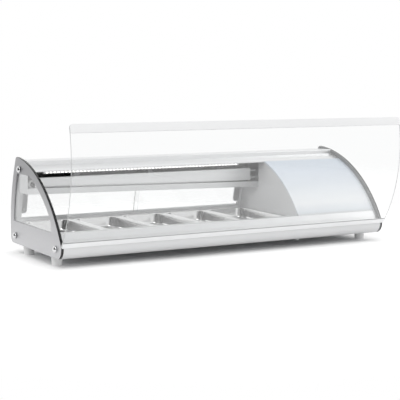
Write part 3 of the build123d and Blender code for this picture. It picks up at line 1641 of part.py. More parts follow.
motor_y = shroud_y - motor_arm_thickness
hub_y = shroud_y + fan_hub_gap
with BuildPart() as fan_motor:
    with BuildSketch(Plane.XZ.offset(-shroud_y)):
        with Locations((condenser_x, fan_z)):
            Circle(motor_radius)
            arm_length = 2 * (fan_radius + fan_tip_gap + motor_arm_overlap)
            with Locations(Rotation(0, 0, 45), Rotation(0, 0, -45)):
                Rectangle(arm_length, motor_arm_width)
    extrude(amount=motor_arm_thickness)
    with BuildSketch(Plane.XZ.offset(-motor_y)):
        with Locations((condenser_x, fan_z)):
            Circle(motor_radius)
    extrude(amount=motor_length)
    with BuildSketch(Plane.XZ.offset(-shroud_y)):
        with Locations((condenser_x, fan_z)):
            Circle(motor_shaft / 2)
    extrude(amount=-(fan_hub_gap + fan_hub_length))
save(fan_motor.part, "fan_motor")

with BuildPart() as fan_blades:
    with BuildSketch(Plane.XZ.offset(-hub_y)):
        with Locations((condenser_x, fan_z)):
            Circle(fan_hub_radius)
            Circle(motor_shaft / 2 + shaft_clearance, mode=Mode.SUBTRACT)
    extrude(amount=-fan_hub_length)
    with BuildPart(mode=Mode.PRIVATE) as blade:
        reach = fan_radius + fan_tip_gap - fan_hub_radius
        with Locations(Rotation(fan_pitch, 0, 0)):
            Box(reach, fan_blade_thickness, fan_blade_width, align=(Align.MIN, Align.CENTER, Align.CENTER))
    for i in range(fan_blade_count):
        place = Pos(condenser_x, hub_y + fan_hub_length / 2, fan_z)
        bearing = Rotation(0, i * 360 / fan_blade_count, 0)
        add(place * bearing * Pos(fan_hub_radius - fan_blade_root, 0, 0) * blade.part)
    with BuildSketch(Plane.XZ.offset(-hub_y + fan_hub_length)):
        with Locations((condenser_x, fan_z)):
            Circle(fan_radius)
            Circle(motor_shaft / 2 + shaft_clearance, mode=Mode.SUBTRACT)
    extrude(amount=-3 * fan_hub_length, mode=Mode.INTERSECT)
save(fan_blades.part, "fan_blades")

# Filter drier
drier_spot = (bay_x + drier_from_wall, front_y + drier_setback)
drier_z = floor_z + drier_lift
with BuildPart() as filter_drier:
    with BuildSketch(Plane.XZ.offset(-drier_spot[1])):
        with BuildLine():
            Polyline(
                (0, drier_z),
                (line_diameter / 2, drier_z),
                (line_diameter / 2, drier_z + drier_neck),
                (drier_diameter / 2, drier_z + 2 * drier_neck),
                (drier_diameter / 2, drier_z + drier_length - 2 * drier_neck),
                (line_diameter / 2, drier_z + drier_length - drier_neck),
                (line_diameter / 2, drier_z + drier_length),
                (0, drier_z + drier_length),
                close=True,
            )
        make_face()
    revolve(axis=Axis((0, drier_spot[1], 0), (0, 0, 1)))
save(Pos(drier_spot[0], 0, 0) * filter_drier.part, "filter_drier")


def bent_tube(points, radius, bend, bore=0):
    """Round tube along straight lines with a bend at each corner."""
    with BuildPart() as tube:
        with BuildLine() as path:
            FilletPolyline(*points, radius=bend)
        with BuildSketch(Plane(origin=path.line @ 0, z_dir=path.line % 0)):
            Circle(radius)
            if bore:
                Circle(bore, mode=Mode.SUBTRACT)
        sweep()
    return tube.part


# Refrigerant lines: discharge, liquid, capillary and suction
lane_x = condenser_x + row_end + line_lane
joint_x = bay_x + coil_reach + coupler_cap
port_z = shell_z + compressor_port_rise
right_port_x = compressor_spot[0] + compressor_length / 2
left_port_x = compressor_spot[0] - compressor_length / 2
suction_x = bay_x + suction_from_wall
discharge = [
    (condenser_x + row_end, condenser_y, row_heights[-1]),
    (lane_x, condenser_y, row_heights[-1]),
    (lane_x, compressor_spot[1], row_heights[-1]),
    (lane_x, compressor_spot[1], port_z),
    (right_port_x, compressor_spot[1], port_z),
]
liquid = [
    (condenser_x - row_end, condenser_y, row_heights[0]),
    (drier_spot[0], condenser_y, row_heights[0]),
    (*drier_spot, row_heights[0]),
    (*drier_spot, drier_z),
]
capillary = [
    (*drier_spot, drier_z + drier_length),
    (*drier_spot, coil_spots[1][1]),
    (drier_spot[0], *coil_spots[1]),
    (joint_x, *coil_spots[1]),
]
suction = [
    (joint_x, *coil_spots[0]),
    (suction_x, *coil_spots[0]),
    (suction_x, coil_y, port_z),
    (suction_x, compressor_spot[1], port_z),
    (left_port_x, compressor_spot[1], port_z),
]
with BuildPart() as refrigerant_lines:
    add(bent_tube(discharge, line_diameter / 2, line_bend))
    add(bent_tube(liquid, line_diameter / 2, line_bend))
    add(bent_tube(capillary, capillary_diameter / 2, line_bend))
    add(bent_tube(suction, line_diameter / 2, line_bend))
    with BuildSketch(Plane.YZ.offset(joint_x)):
        with Locations(*coil_spots):
            Circle(coil_diameter / 2 + coupler_wall)
    extrude(amount=-coupler_cap - coupler_reach)
    with BuildSketch(Plane.YZ.offset(joint_x - coupler_cap)):
        with Locations(*coil_spots):
            Circle(coil_diameter / 2 + shaft_clearance)
    extrude(amount=-coupler_reach, mode=Mode.SUBTRACT)
save(refrigerant_lines.part, "refrigerant_lines")

# Drain through the base, with its nut below, and the hose to it from the tray's spout
hose_bore = spout_diameter / 2 + glass_play
hose_radius = hose_bore + hose_wall
with BuildPart() as drain_body:
    for from_z, to_z, radius in (
        (foot_height - drain_below, floor_z, drain_diameter / 2),
        (floor_z, floor_z + drain_socket, hose_radius + glass_play + hose_wall),
    ):
        with BuildSketch(Plane.XY.offset(from_z)):
            with Locations(drain_spot):
                Circle(radius)
        extrude(amount=to_z - from_z)
    with BuildSketch(Plane.XY.offset(foot_height - drain_below)):
        with Locations(drain_spot):
            Circle(drain_bore / 2)
    extrude(amount=drain_below + drain_socket + base_sheet, mode=Mode.SUBTRACT)
    with BuildSketch(Plane.XY.offset(floor_z + drain_seat)):
        with Locations(drain_spot):
            Circle(hose_radius + glass_play)
    extrude(amount=drain_socket, mode=Mode.SUBTRACT)

with BuildPart() as drain_nut_part:
    with BuildSketch(Plane.XY.offset(foot_height)):
        with Locations(drain_spot):
            RegularPolygon(drain_nut / 2, 6, major_radius=False)
            Circle(drain_diameter / 2 + shaft_clearance, mode=Mode.SUBTRACT)
    extrude(amount=-drain_nut_height)
save(Compound([drain_body.part, drain_nut_part.part]), "drain_outlet")

hose_path = [
    (bay_x + grommet_lip, *spout_spot),
    (drain_spot[0], *spout_spot),
    (drain_spot[0], spout_spot[0], floor_z + hose_high),
    (*drain_spot, floor_z + hose_low),
    (*drain_spot, floor_z + drain_seat),
]
save(bent_tube(hose_path, hose_radius, hose_bend, hose_bore), "drain_hose")
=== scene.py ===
from math import atan2, cos, pi, radians, sin, sqrt, tan

import bmesh
import bpy
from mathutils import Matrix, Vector


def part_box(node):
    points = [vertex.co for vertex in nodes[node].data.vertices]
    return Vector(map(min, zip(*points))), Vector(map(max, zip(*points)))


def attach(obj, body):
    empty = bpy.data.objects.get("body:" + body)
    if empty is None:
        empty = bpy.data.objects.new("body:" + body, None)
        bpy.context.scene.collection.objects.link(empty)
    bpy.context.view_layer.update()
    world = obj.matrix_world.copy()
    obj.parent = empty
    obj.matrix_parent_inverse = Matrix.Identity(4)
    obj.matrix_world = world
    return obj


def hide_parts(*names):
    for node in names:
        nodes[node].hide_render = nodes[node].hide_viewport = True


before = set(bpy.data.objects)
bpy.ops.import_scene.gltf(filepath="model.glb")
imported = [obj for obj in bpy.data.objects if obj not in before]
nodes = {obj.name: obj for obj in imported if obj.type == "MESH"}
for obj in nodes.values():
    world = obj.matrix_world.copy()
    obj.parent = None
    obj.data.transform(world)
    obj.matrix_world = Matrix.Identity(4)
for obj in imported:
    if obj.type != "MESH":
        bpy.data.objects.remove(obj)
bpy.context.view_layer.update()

# view and light, the colours of the surroundings
studio = {
    "eye": (-1.8596, -3.2415, 0.5851),  # where the photograph was taken from, in metres
    "yaw": 29.4,                        # degrees from +Y towards +X
    "pitch": 6.364,                     # degrees down
    "focal": 1077.4 / 400,              # focal length in picture widths
    "sensor": 36.0,
    "clipEnd": 50.0,
    "worldLight": 0.84,
    "lampTarget": (0, 0, 0.1),
    "lamps": {                          # place, size and power
        "keyLamp": ((-1.6, -1.9, 2.4), (1.6, 1.2), 23.0),
        "fillLamp": ((2.2, -1.4, 1.6), (1.4, 1.4), 9.0),
    },
    "darkSide": (-0.95, -0.31, 0.02),   # unlit end of the room, behind the camera
    "darkEdge": (0.58, 0.74),           # where it begins and where it is full
    "darkLevel": 0.07,
    "frontLevel": 0.86,                 # how bright metal sees the room in front
    "frontEdge": (-1.0, 0.1),           # from straight ahead to the side
    "floorColour": (0.93, 0.93, 0.93),
    "floorRough": 0.9,
    "floorHalf": 3,
    "floorGlow": (0.0, 0.42),           # glow under the case and beyond its shadow; held low within the shadow's reach, it paints a shadow round the case's footprint
    "shadowReach": (-0.07, 0.11),
    "footprint": (0.60, 0.17, 0.04),    # half length, half depth and middle of the case
    "floorFade": (0.75, 1.75),          # the floor runs out into the background here
}


def place(name, data):
    holder = bpy.data.objects.new(name, data)
    bpy.context.scene.collection.objects.link(holder)
    return holder


def placeCamera(view):
    lens = bpy.data.cameras.new("productCamera")
    lens.sensor_width = view["sensor"]
    lens.lens = view["focal"] * view["sensor"]
    lens.clip_end = view["clipEnd"]
    camera = place("productCamera", lens)
    yaw, pitch = radians(view["yaw"]), radians(view["pitch"])
    sight = Vector((sin(yaw) * cos(pitch), cos(yaw) * cos(pitch), -sin(pitch)))
    camera.location = view["eye"]
    camera.rotation_euler = sight.to_track_quat("-Z", "Y").to_euler()
    bpy.context.scene.camera = camera


def addLamp(name, spot, target, size, power):
    lamp = bpy.data.lights.new(name, "AREA")
    lamp.shape = "RECTANGLE"
    lamp.size, lamp.size_y = size
    lamp.energy = power
    holder = place(name, lamp)
    holder.location = spot
    holder.rotation_euler = (Vector(target) - Vector(spot)).to_track_quat("-Z", "Y").to_euler()


# helpers for node trees; where one takes a value, a socket or a number will do
def feed(tree, socket, value):
    if isinstance(value, bpy.types.NodeSocket):
        tree.links.new(value, socket)
    else:
        socket.default_value = value


def maths(tree, operation, first, second=0.0):
    node = tree.nodes.new("ShaderNodeMath")
    node.operation = operation
    feed(tree, node.inputs[0], first)
    feed(tree, node.inputs[1], second)
    return node.outputs[0]


def spread(tree, value, before, after, smooth=False):  # from one range to another
    node = tree.nodes.new("ShaderNodeMapRange")
    node.interpolation_type = "SMOOTHSTEP" if smooth else "LINEAR"
    node.inputs["From Min"].default_value, node.inputs["From Max"].default_value = before
    node.inputs["To Min"].default_value, node.inputs["To Max"].default_value = after
    tree.links.new(value, node.inputs["Value"])
    return node.outputs[0]


def ramp(tree, value, ends, stops):  # colours along a length, each stop a place and a colour
    node = tree.nodes.new("ShaderNodeValToRGB")
    band = node.color_ramp.elements
    while len(band) < len(stops):
        band.new(0.5)
    for element, (spot, colour) in zip(band, stops):
        element.position = (spot - ends[0]) / (ends[1] - ends[0])
        element.color = (*colour, 1)
    tree.links.new(spread(tree, value, ends, (0.0, 1.0)), node.inputs[0])
    return node.outputs[0]


def blend(tree, factor, first, second, kind="MIX"):
    node = tree.nodes.new("ShaderNodeMix")
    node.data_type = "RGBA"
    node.blend_type = kind
    node.clamp_result = False
    for label, value in (("Factor", factor), ("A", first), ("B", second)):
        feed(tree, node.inputs[label], value)
    return node.outputs["Result"]


def mixShaders(tree, factor, first, second, surface):
    mix = tree.nodes.new("ShaderNodeMixShader")
    for socket, value in zip(mix.inputs, (factor, first, second)):
        tree.links.new(value, socket)
    tree.links.new(mix.outputs[0], surface)


def partsOf(tree, value):
    split = tree.nodes.new("ShaderNodeSeparateXYZ")
    tree.links.new(value, split.inputs[0])
    return split.outputs


def combined(tree, *values):  # a vector; a part left out stays 0
    node = tree.nodes.new("ShaderNodeCombineXYZ")
    for socket, value in zip(node.inputs, values):
        feed(tree, socket, value)
    return node.outputs[0]


def onObject(tree):
    return tree.nodes.new("ShaderNodeTexCoord").outputs["Object"]


def trueNormal(tree):
    return partsOf(tree, tree.nodes.new("ShaderNodeNewGeometry").outputs["True Normal"])


def noise(tree, scale, where, detail=2.0):
    node = tree.nodes.new("ShaderNodeTexNoise")
    node.inputs["Scale"].default_value = scale
    node.inputs["Detail"].default_value = detail
    tree.links.new(where, node.inputs["Vector"])
    return node.outputs[0]


def newMaterial(name):
    material = bpy.data.materials.new(name)
    material.use_nodes = True
    return material, material.node_tree, material.node_tree.nodes["Principled BSDF"]


def seenRays(tree):  # 1 for camera, glossy and transmission rays
    path = tree.nodes.new("ShaderNodeLightPath")
    first = maths(tree, "MAXIMUM", path.outputs["Is Camera Ray"], path.outputs["Is Glossy Ray"])
    return maths(tree, "MAXIMUM", first, path.outputs["Is Transmission Ray"])


def lightRoom(view):
    world = bpy.data.worlds.new("studioRoom")
    world.use_nodes = True
    bpy.context.scene.world = world
    tree = world.node_tree
    tree.nodes.clear()
    lit = tree.nodes.new("ShaderNodeBackground")
    lit.inputs["Strength"].default_value = view["worldLight"]
    seen = tree.nodes.new("ShaderNodeBackground")
    seen.inputs["Color"].default_value = (1, 1, 1, 1)
    look = tree.nodes.new("ShaderNodeTexCoord").outputs["Generated"]
    towards = tree.nodes.new("ShaderNodeVectorMath")
    towards.operation = "DOT_PRODUCT"
    tree.links.new(look, towards.inputs[0])
    towards.inputs[1].default_value = view["darkSide"]
    dark = spread(tree, towards.outputs["Value"], view["darkEdge"], (1.0, view["darkLevel"]), True)
    front = spread(tree, partsOf(tree, look)["Y"], view["frontEdge"], (view["frontLevel"], 1.0))
    gloss = maths(tree, "MULTIPLY", dark, front)
    path = tree.nodes.new("ShaderNodeLightPath")
    less = maths(tree, "MULTIPLY", maths(tree, "SUBTRACT", gloss, 1.0), path.outputs["Is Glossy Ray"])
    tree.links.new(maths(tree, "ADD", less, 1.0), seen.inputs["Strength"])
    out = tree.nodes.new("ShaderNodeOutputWorld")
    mixShaders(tree, seenRays(tree), lit.outputs[0], seen.outputs[0], out.inputs[0])
    for name, (spot, size, power) in view["lamps"].items():
        addLamp(name, spot, view["lampTarget"], size, power)


def layFloor(view):
    material, tree, shader = newMaterial("paleFloor")
    shader.inputs["Base Color"].default_value = (*view["floorColour"], 1)
    shader.inputs["Roughness"].default_value = view["floorRough"]
    shader.inputs["Specular IOR Level"].default_value = 0.0
    shader.inputs["Emission Color"].default_value = (1, 1, 1, 1)
    here = onObject(tree)
    parts = partsOf(tree, here)
    halfLength, halfDepth, middle = view["footprint"]
    besideX = maths(tree, "SUBTRACT", maths(tree, "ABSOLUTE", parts["X"]), halfLength)
    fromMiddle = maths(tree, "SUBTRACT", parts["Y"], middle)
    besideY = maths(tree, "SUBTRACT", maths(tree, "ABSOLUTE", fromMiddle), halfDepth)
    farthest = maths(tree, "MAXIMUM", besideX, besideY)
    # painted shadow: the glow fades out within reach of the case's footprint, over its real shadow
    level = spread(tree, farthest, view["shadowReach"], view["floorGlow"], True)
    tree.links.new(maths(tree, "MULTIPLY", seenRays(tree), level), shader.inputs["Emission Strength"])
    away = tree.nodes.new("ShaderNodeVectorMath")
    away.operation = "LENGTH"
    tree.links.new(here, away.inputs[0])
    fade = spread(tree, away.outputs["Value"], view["floorFade"], (0.0, 1.0), True)
    openEnd = tree.nodes.new("ShaderNodeBsdfTransparent")
    surface = tree.nodes["Material Output"].inputs["Surface"]
    mixShaders(tree, fade, shader.outputs[0], openEnd.outputs[0], surface)
    mesh = bpy.data.meshes.new("studioFloor")
    half = view["floorHalf"]
    corners = [(-half, -half, 0), (half, -half, 0), (half, half, 0), (-half, half, 0)]
    mesh.from_pydata(corners, [], [(0, 1, 2, 3)])
    mesh.materials.append(material)
    place("studioFloor", mesh)


placeCamera(studio)
lightRoom(studio)
layFloor(studio)
bpy.context.scene.view_settings.view_transform = "Standard"
print("studio ready")

# finishes: colour, metal, roughness, drift of the tone, grain, its scale along x, y and z, relief
finishes = {
    "brushedPlate": ((0.42, 0.42, 0.425), 1.0, 0.38, 0.06, "brush", (60, 4, 900), 0.10),
    "satinPanel": ((0.66, 0.665, 0.67), 1.0, 0.34, 0.04, "brush", (4, 500, 500), 0.07),
    "pressedPan": ((0.70, 0.70, 0.70), 1.0, 0.13, 0.05, "smudge", (30, 30, 30), 0.03),
    "deckSteel": ((0.80, 0.80, 0.805), 0.55, 0.24, 0.05, "brush", (4, 600, 600), 0.04),
    "anodised": ((0.82, 0.825, 0.83), 0.80, 0.32, 0.03, "brush", (3, 700, 700), 0.05),
    "frontBand": ((0.69, 0.695, 0.70), 0.65, 0.38, 0.03, "brush", (3, 700, 700), 0.05),
    "hangerSteel": ((0.14, 0.14, 0.145), 1.0, 0.30, 0.05, "brush", (500, 4, 500), 0.05),
    "chromeDome": ((0.70, 0.705, 0.71), 1.0, 0.07, 0.02, "smudge", (90, 90, 90), 0.01),
    "paleCover": ((0.84, 0.88, 0.93), 0.0, 0.38, 0.02, "peel", (260, 260, 260), 0.03),
    # grey liner, darkened to paint the shade and dark reflection on the right end's inner face
    "greyLinerPaintedShade": ((0.22, 0.222, 0.225), 0.0, 0.45, 0.03, "peel", (240, 240, 240), 0.04),
    "zincSheet": ((0.58, 0.59, 0.60), 0.9, 0.42, 0.08, "spangle", (120, 120, 120), 0.03),
    "blackRubber": ((0.030, 0.030, 0.032), 0.0, 0.62, 0.25, "peel", (420, 420, 420), 0.10),
    "foamBoard": ((0.76, 0.68, 0.42), 0.0, 0.85, 0.12, "peel", (500, 500, 500), 0.30),
    "smokedGrip": ((0.93, 0.935, 0.94), 0.0, 0.24, 0.02, "smudge", (40, 40, 40), 0.02),
    "frostPull": ((0.76, 0.765, 0.77), 0.0, 0.30, 0.03, "peel", (300, 300, 300), 0.03),
    "copperTube": ((0.72, 0.36, 0.20), 1.0, 0.28, 0.14, "smudge", (60, 60, 60), 0.03),
    "darkPlastic": ((0.028, 0.028, 0.030), 0.0, 0.46, 0.15, "peel", (900, 900, 900), 0.10),
    "greenRocker": ((0.02, 0.16, 0.05), 0.0, 0.22, 0.06, "peel", (300, 300, 300), 0.02),
    "blackEnamel": ((0.022, 0.022, 0.024), 0.0, 0.30, 0.18, "peel", (180, 180, 180), 0.10),
    "evaporatorTube": ((0.62, 0.625, 0.63), 0.9, 0.34, 0.05, "smudge", (60, 60, 60), 0.03),
    "coatedWall": ((0.80, 0.805, 0.81), 0.0, 0.42, 0.02, "peel", (300, 300, 300), 0.03),
    "paleFoot": ((0.92, 0.92, 0.92), 0.0, 0.35, 0.02, "peel", (240, 240, 240), 0.03),
    "whiteTrack": ((0.84, 0.845, 0.85), 0.0, 0.40, 0.02, "peel", (300, 300, 300), 0.02),
    "whiteHousing": ((0.80, 0.81, 0.82), 0.0, 0.35, 0.02, "peel", (300, 300, 300), 0.02),
}
wearLook = {                      # what all finishes share
    "grainDetail": 3.0,
    "driftScale": 7.0,            # slow drift, a hand wide
    "driftDetail": 4.0,
    "roughRange": (0.8, 1.25),    # times the finish's own roughness
    "reliefDepth": 0.0004,
}
made = {}


def finish(name):
    if name in made:
        return made[name]
    colour, metal, rough, drift, kind, along, relief = finishes[name]
    material, tree, shader = newMaterial(name)
    shader.inputs["Metallic"].default_value = metal
    here = onObject(tree)
    stretch = tree.nodes.new("ShaderNodeMapping")
    stretch.inputs["Scale"].default_value = along
    tree.links.new(here, stretch.inputs["Vector"])
    if kind == "spangle":
        grain = tree.nodes.new("ShaderNodeTexVoronoi")
        grain.inputs["Scale"].default_value = 1.0
        grain.inputs["Detail"].default_value = wearLook["grainDetail"]
        tree.links.new(stretch.outputs["Vector"], grain.inputs["Vector"])
        value = grain.outputs["Distance"]
    else:
        value = noise(tree, 1.0, stretch.outputs["Vector"], wearLook["grainDetail"])
    wear = noise(tree, wearLook["driftScale"], here, wearLook["driftDetail"])
    middle = maths(tree, "MULTIPLY", maths(tree, "ADD", value, wear), 0.5)
    tint = tree.nodes.new("ShaderNodeVectorMath")
    tint.operation = "SCALE"
    tint.inputs[0].default_value = colour
    tone = spread(tree, middle, (0.0, 1.0), (1.0 - drift, 1.0 + drift))
    tree.links.new(tone, tint.inputs["Scale"])
    tree.links.new(tint.outputs[0], shader.inputs["Base Color"])
    least, most = wearLook["roughRange"]
    dull = spread(tree, middle, (0.0, 1.0), (rough * least, rough * most))
    tree.links.new(dull, shader.inputs["Roughness"])
    bump = tree.nodes.new("ShaderNodeBump")
    bump.inputs["Strength"].default_value = relief
    bump.inputs["Distance"].default_value = wearLook["reliefDepth"]
    tree.links.new(value, bump.inputs["Height"])
    tree.links.new(bump.outputs["Normal"], shader.inputs["Normal"])
    made[name] = material
    return material


# clear sheets: glass of the front, of the left end and of the rear doors
clearSheets = {
    "frontSheet": dict(colour=(0.985, 0.99, 0.99), rough=0.01, gloss=1.75),
    "endPane": dict(colour=(0.97, 0.975, 0.975), rough=0.01, gloss=1.46),
    "doorSheet": dict(colour=(0.975, 0.98, 0.98), rough=0.015, gloss=1.46),
}
smearLook = {"scale": 9.0, "dullest": 3}  # faint wipe marks in the gloss


def clearSheet(name):
    if name in made:
        return made[name]
    look = clearSheets[name]
    material, tree, shader = newMaterial(name)
    shader.inputs["Base Color"].default_value = (*look["colour"], 1)
    shader.inputs["Transmission Weight"].default_value = 1.0
    shader.inputs["IOR"].default_value = look["gloss"]
    smear = noise(tree, smearLook["scale"], onObject(tree))
    dull = spread(tree, smear, (0.0, 1.0), (look["rough"], look["rough"] * smearLook["dullest"]))
    tree.links.new(dull, shader.inputs["Roughness"])
    path = tree.nodes.new("ShaderNodeLightPath")
    bare = tree.nodes.new("ShaderNodeBsdfTransparent")
    bare.inputs["Color"].default_value = (*look["colour"], 1)
    surface = tree.nodes["Material Output"].inputs["Surface"]
    mixShaders(tree, path.outputs["Is Shadow Ray"], shader.outputs[0], bare.outputs[0], surface)
    made[name] = material
    return material


# end plate: brushed face with painted shade, darker towards the top, and a cut edge painted dark for its
# shade and dark reflection
plateLook = {
    # painted shade: tone of the plate at its foot and at its top
    "low": (0.55, 0.55, 0.555),
    "high": (0.36, 0.36, 0.365),
    "under": 0.42,                 # tone of the brushed finish that these two stand in for
    "heights": (0.05, 0.30),
    # painted shade and dark reflection of the steel cut edge
    "edge": (0.035, 0.035, 0.036),
    "edgeNormal": 0.6,             # faces that point less than this along x are cut edges
}


def plateWithPaintedShade(name, paintEdgeShade):
    base = finish("brushedPlate").copy()
    base.name = name
    tree = base.node_tree
    colour = tree.nodes["Principled BSDF"].inputs["Base Color"]
    grainTone = colour.links[0].from_socket
    # painted shade: the plate darkens with height
    rise = spread(tree, partsOf(tree, onObject(tree))["Z"], plateLook["heights"], (0.0, 1.0), True)
    low, high = ((*[c / plateLook["under"] for c in plateLook[end]], 1) for end in ("low", "high"))
    shown = blend(tree, 1.0, grainTone, blend(tree, rise, low, high), "MULTIPLY")
    # painted shade and dark reflection: the cut edges turn near black
    if paintEdgeShade:
        sideways = maths(tree, "ABSOLUTE", trueNormal(tree)["X"])
        onEdge = maths(tree, "LESS_THAN", sideways, plateLook["edgeNormal"])
        shown = blend(tree, onEdge, shown, (*plateLook["edge"], 1))
    tree.links.new(shown, colour)
    return base


# overhead tray: painted reflection; the tones of the unlit room above the cooling plate are painted onto
# its polished back
trayLook = {
    "stops": [(-0.60, 0.16), (-0.53, 0.03), (-0.44, 0.015), (-0.40, 0.10), (-0.20, 0.20),
              (-0.10, 0.12), (0.05, 0.26), (0.28, 0.34)],  # x along the case and how pale the painted reflection is there
    "ends": (-0.62, 0.30),
    "above": 0.205,       # the back begins at this height
    "behind": 0.13,       # and this far back
    "frontNormal": -0.5,  # and faces the front
}


def trayPaintedReflection():
    base = finish("satinPanel").copy()
    base.name = "trayPaintedReflection"
    tree = base.node_tree
    colour = tree.nodes["Principled BSDF"].inputs["Base Color"]
    usual = colour.links[0].from_socket
    parts = partsOf(tree, onObject(tree))
    # painted reflection: dark tones along the case
    dark = ramp(tree, parts["X"], trayLook["ends"], [(x, (c, c, c)) for x, c in trayLook["stops"]])
    front = maths(tree, "LESS_THAN", trueNormal(tree)["Y"], trayLook["frontNormal"])
    high = maths(tree, "GREATER_THAN", parts["Z"], trayLook["above"])
    behind = maths(tree, "GREATER_THAN", parts["Y"], trayLook["behind"])
    mask = maths(tree, "MULTIPLY", maths(tree, "MULTIPLY", front, high), behind)
    tree.links.new(blend(tree, mask, usual, dark), colour)
    return base


# compressor cover: enamelled pale blue, with painted light by height: a painted highlight band across its
# lower third and painted shade at its foot and towards its top
coverLook = {
    "heights": (0.10, 0.30),
    # painted shade at the foot, painted highlight from 0.150 to 0.175, painted shade rising towards the
    # top, over the pale blue
    "stops": [(0.112, (0.66, 0.67, 0.68)), (0.120, (0.80, 0.84, 0.88)), (0.150, (0.93, 0.95, 0.97)),
              (0.175, (0.90, 0.93, 0.96)), (0.215, (0.80, 0.85, 0.91)), (0.255, (0.74, 0.80, 0.88)),
              (0.285, (0.70, 0.77, 0.85))],
}


def coverPaintedLight():
    base = finish("paleCover").copy()
    base.name = "coverPaintedLight"
    tree = base.node_tree
    # painted highlight and shade by height replace the finish's colour
    shade = ramp(tree, partsOf(tree, onObject(tree))["Z"], coverLook["heights"], coverLook["stops"])
    tree.links.new(shade, tree.nodes["Principled BSDF"].inputs["Base Color"])
    return base


# helpers for the meshes made here
def settle(name, mesh, body, node, smoothAngle=32):
    mesh.update()
    mesh.polygons.foreach_set("use_smooth", [True] * len(mesh.polygons))
    mesh.set_sharp_from_angle(angle=radians(smoothAngle))
    piece = place(name, mesh)
    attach(piece, body)
    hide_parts(node)
    return piece


def addPiece(name, points, faces, material, body, node, smoothAngle=32):
    mesh = bpy.data.meshes.new(name)
    mesh.from_pydata(points, [], faces)
    mesh.materials.append(material)
    return settle(name, mesh, body, node, smoothAngle)


def tidyNormals(mesh):
    work = bmesh.new()
    work.from_mesh(mesh)
    bmesh.ops.remove_doubles(work, verts=work.verts, dist=0.00002)
    bmesh.ops.recalc_face_normals(work, faces=work.faces)
    work.to_mesh(mesh)
    work.free()


def evaluated(holder):  # the finished mesh of an object that then goes
    bpy.context.view_layer.update()
    mesh = bpy.data.meshes.new_from_object(holder.evaluated_get(bpy.context.evaluated_depsgraph_get()))
    bpy.data.objects.remove(holder)
    return mesh


# front glass: one bent sheet, shown open, with rounded top corners and a ground edge
frontGlass = {
    "hinge": (-0.17753, 0.0740),     # y and z of the hinge line
    "toBow": (0.41860, -0.21888),    # from there to the arc's centre with the glass closed
    "open": 63.0,                    # degrees
    "inner": 0.4770,
    "thickness": 0.0048,
    "halfLength": 0.6250,
    "foot": 151.79,                  # bearings of its two edges with the glass closed
    "top": 104.40,
    "corner": 0.0105,
    "cornerSteps": 10,
    "rows": 88,
    "edgeNormal": 0.3,               # faces that point more than this along x are ground
    "edgeTones": [(0.0, (0.50, 0.51, 0.51)), (1.0, (0.70, 0.71, 0.71))],
    "edgeCloud": 60.0,
    "edgeRough": 0.35,
}


def bentSheet(look, face, rim):
    turn = radians(look["open"])
    reach = Vector(look["toBow"]).length
    aim = atan2(look["toBow"][1], look["toBow"][0]) + turn
    centre = (look["hinge"][0] + reach * cos(aim), look["hinge"][1] + reach * sin(aim))
    foot, top = radians(look["foot"]) + turn, radians(look["top"]) + turn
    length = (foot - top) * look["inner"]
    corner, steps = look["corner"], look["cornerSteps"]
    stations = [length * i / look["rows"] for i in range(look["rows"])]
    stations = [u for u in stations if u < length - corner]
    stations += [length - corner * (1 - sin(pi / 2 * i / steps)) for i in range(steps + 1)]
    points, faces = [], []
    for u in stations:
        over = max(0.0, u - (length - corner))
        half = look["halfLength"] - corner + sqrt(max(0.0, corner**2 - over**2))
        bearing = foot - u / look["inner"]
        for radius in (look["inner"], look["inner"] + look["thickness"]):
            y, z = centre[0] + radius * cos(bearing), centre[1] + radius * sin(bearing)
            points += [(-half, y, z), (half, y, z)]
    last = 4 * (len(stations) - 1)
    for i in range(0, last, 4):
        faces.append((i, i + 1, i + 5, i + 4))      # inner face
        faces.append((i + 2, i + 6, i + 7, i + 3))  # outer face
        faces.append((i, i + 4, i + 6, i + 2))      # left edge
        faces.append((i + 1, i + 3, i + 7, i + 5))  # right edge
    faces.append((0, 2, 3, 1))
    faces.append((last, last + 1, last + 3, last + 2))
    piece = addPiece("frontGlassSheet", points, faces, face, "front_glass_panel", "front_glass")
    piece.data.materials.append(rim)
    for polygon in piece.data.polygons:
        if abs(polygon.normal.x) > look["edgeNormal"]:
            polygon.material_index = 1
    tidyNormals(piece.data)


def sheetEdge(look):
    material, tree, shader = newMaterial("groundGlassEdge")
    tone = ramp(tree, noise(tree, look["edgeCloud"], onObject(tree)), (0.0, 1.0), look["edgeTones"])
    tree.links.new(tone, shader.inputs["Base Color"])
    shader.inputs["Roughness"].default_value = look["edgeRough"]
    return material


bentSheet(frontGlass, clearSheet("frontSheet"), sheetEdge(frontGlass))
print("front glass bent")

# pans: pressed from sheet, with a rolled rim, tapered walls and wide corners
pressedPans = {
    "count": 5,
    "sheet": 0.0010,
    "rimWidth": 0.0130,
    "rimDrop": 0.0035,
    "rimCorner": 0.0270,
    "rimRoll": 0.0014,      # outer edge
    "rollSteps": 3,
    "rimBend": 0.0030,      # inner edge
    "rimSteps": 4,
    "wallCorner": 0.0340,
    "cornerLoss": 0.0040,   # the walls' corners are tighter by this much
    "taper": 0.0050,
    "floorBend": 0.0120,
    "bendSteps": 7,
    "cornerSteps": 12,
    "smoothAngle": 50,
}


def roundRing(centre, half, corner, z, steps):
    ring = []
    for sideX, sideY, start in ((1, 1, 0), (-1, 1, 90), (-1, -1, 180), (1, -1, 270)):
        x = centre[0] + sideX * (half[0] - corner)
        y = centre[1] + sideY * (half[1] - corner)
        for i in range(steps + 1):
            a = radians(start + 90 * i / steps)
            ring.append((x + corner * cos(a), y + corner * sin(a), z))
    return ring


def quarter(steps):  # sine and 1 - cosine over a quarter turn
    angles = [pi / 2 * i / steps for i in range(steps + 1)]
    return [(sin(a), 1 - cos(a)) for a in angles]


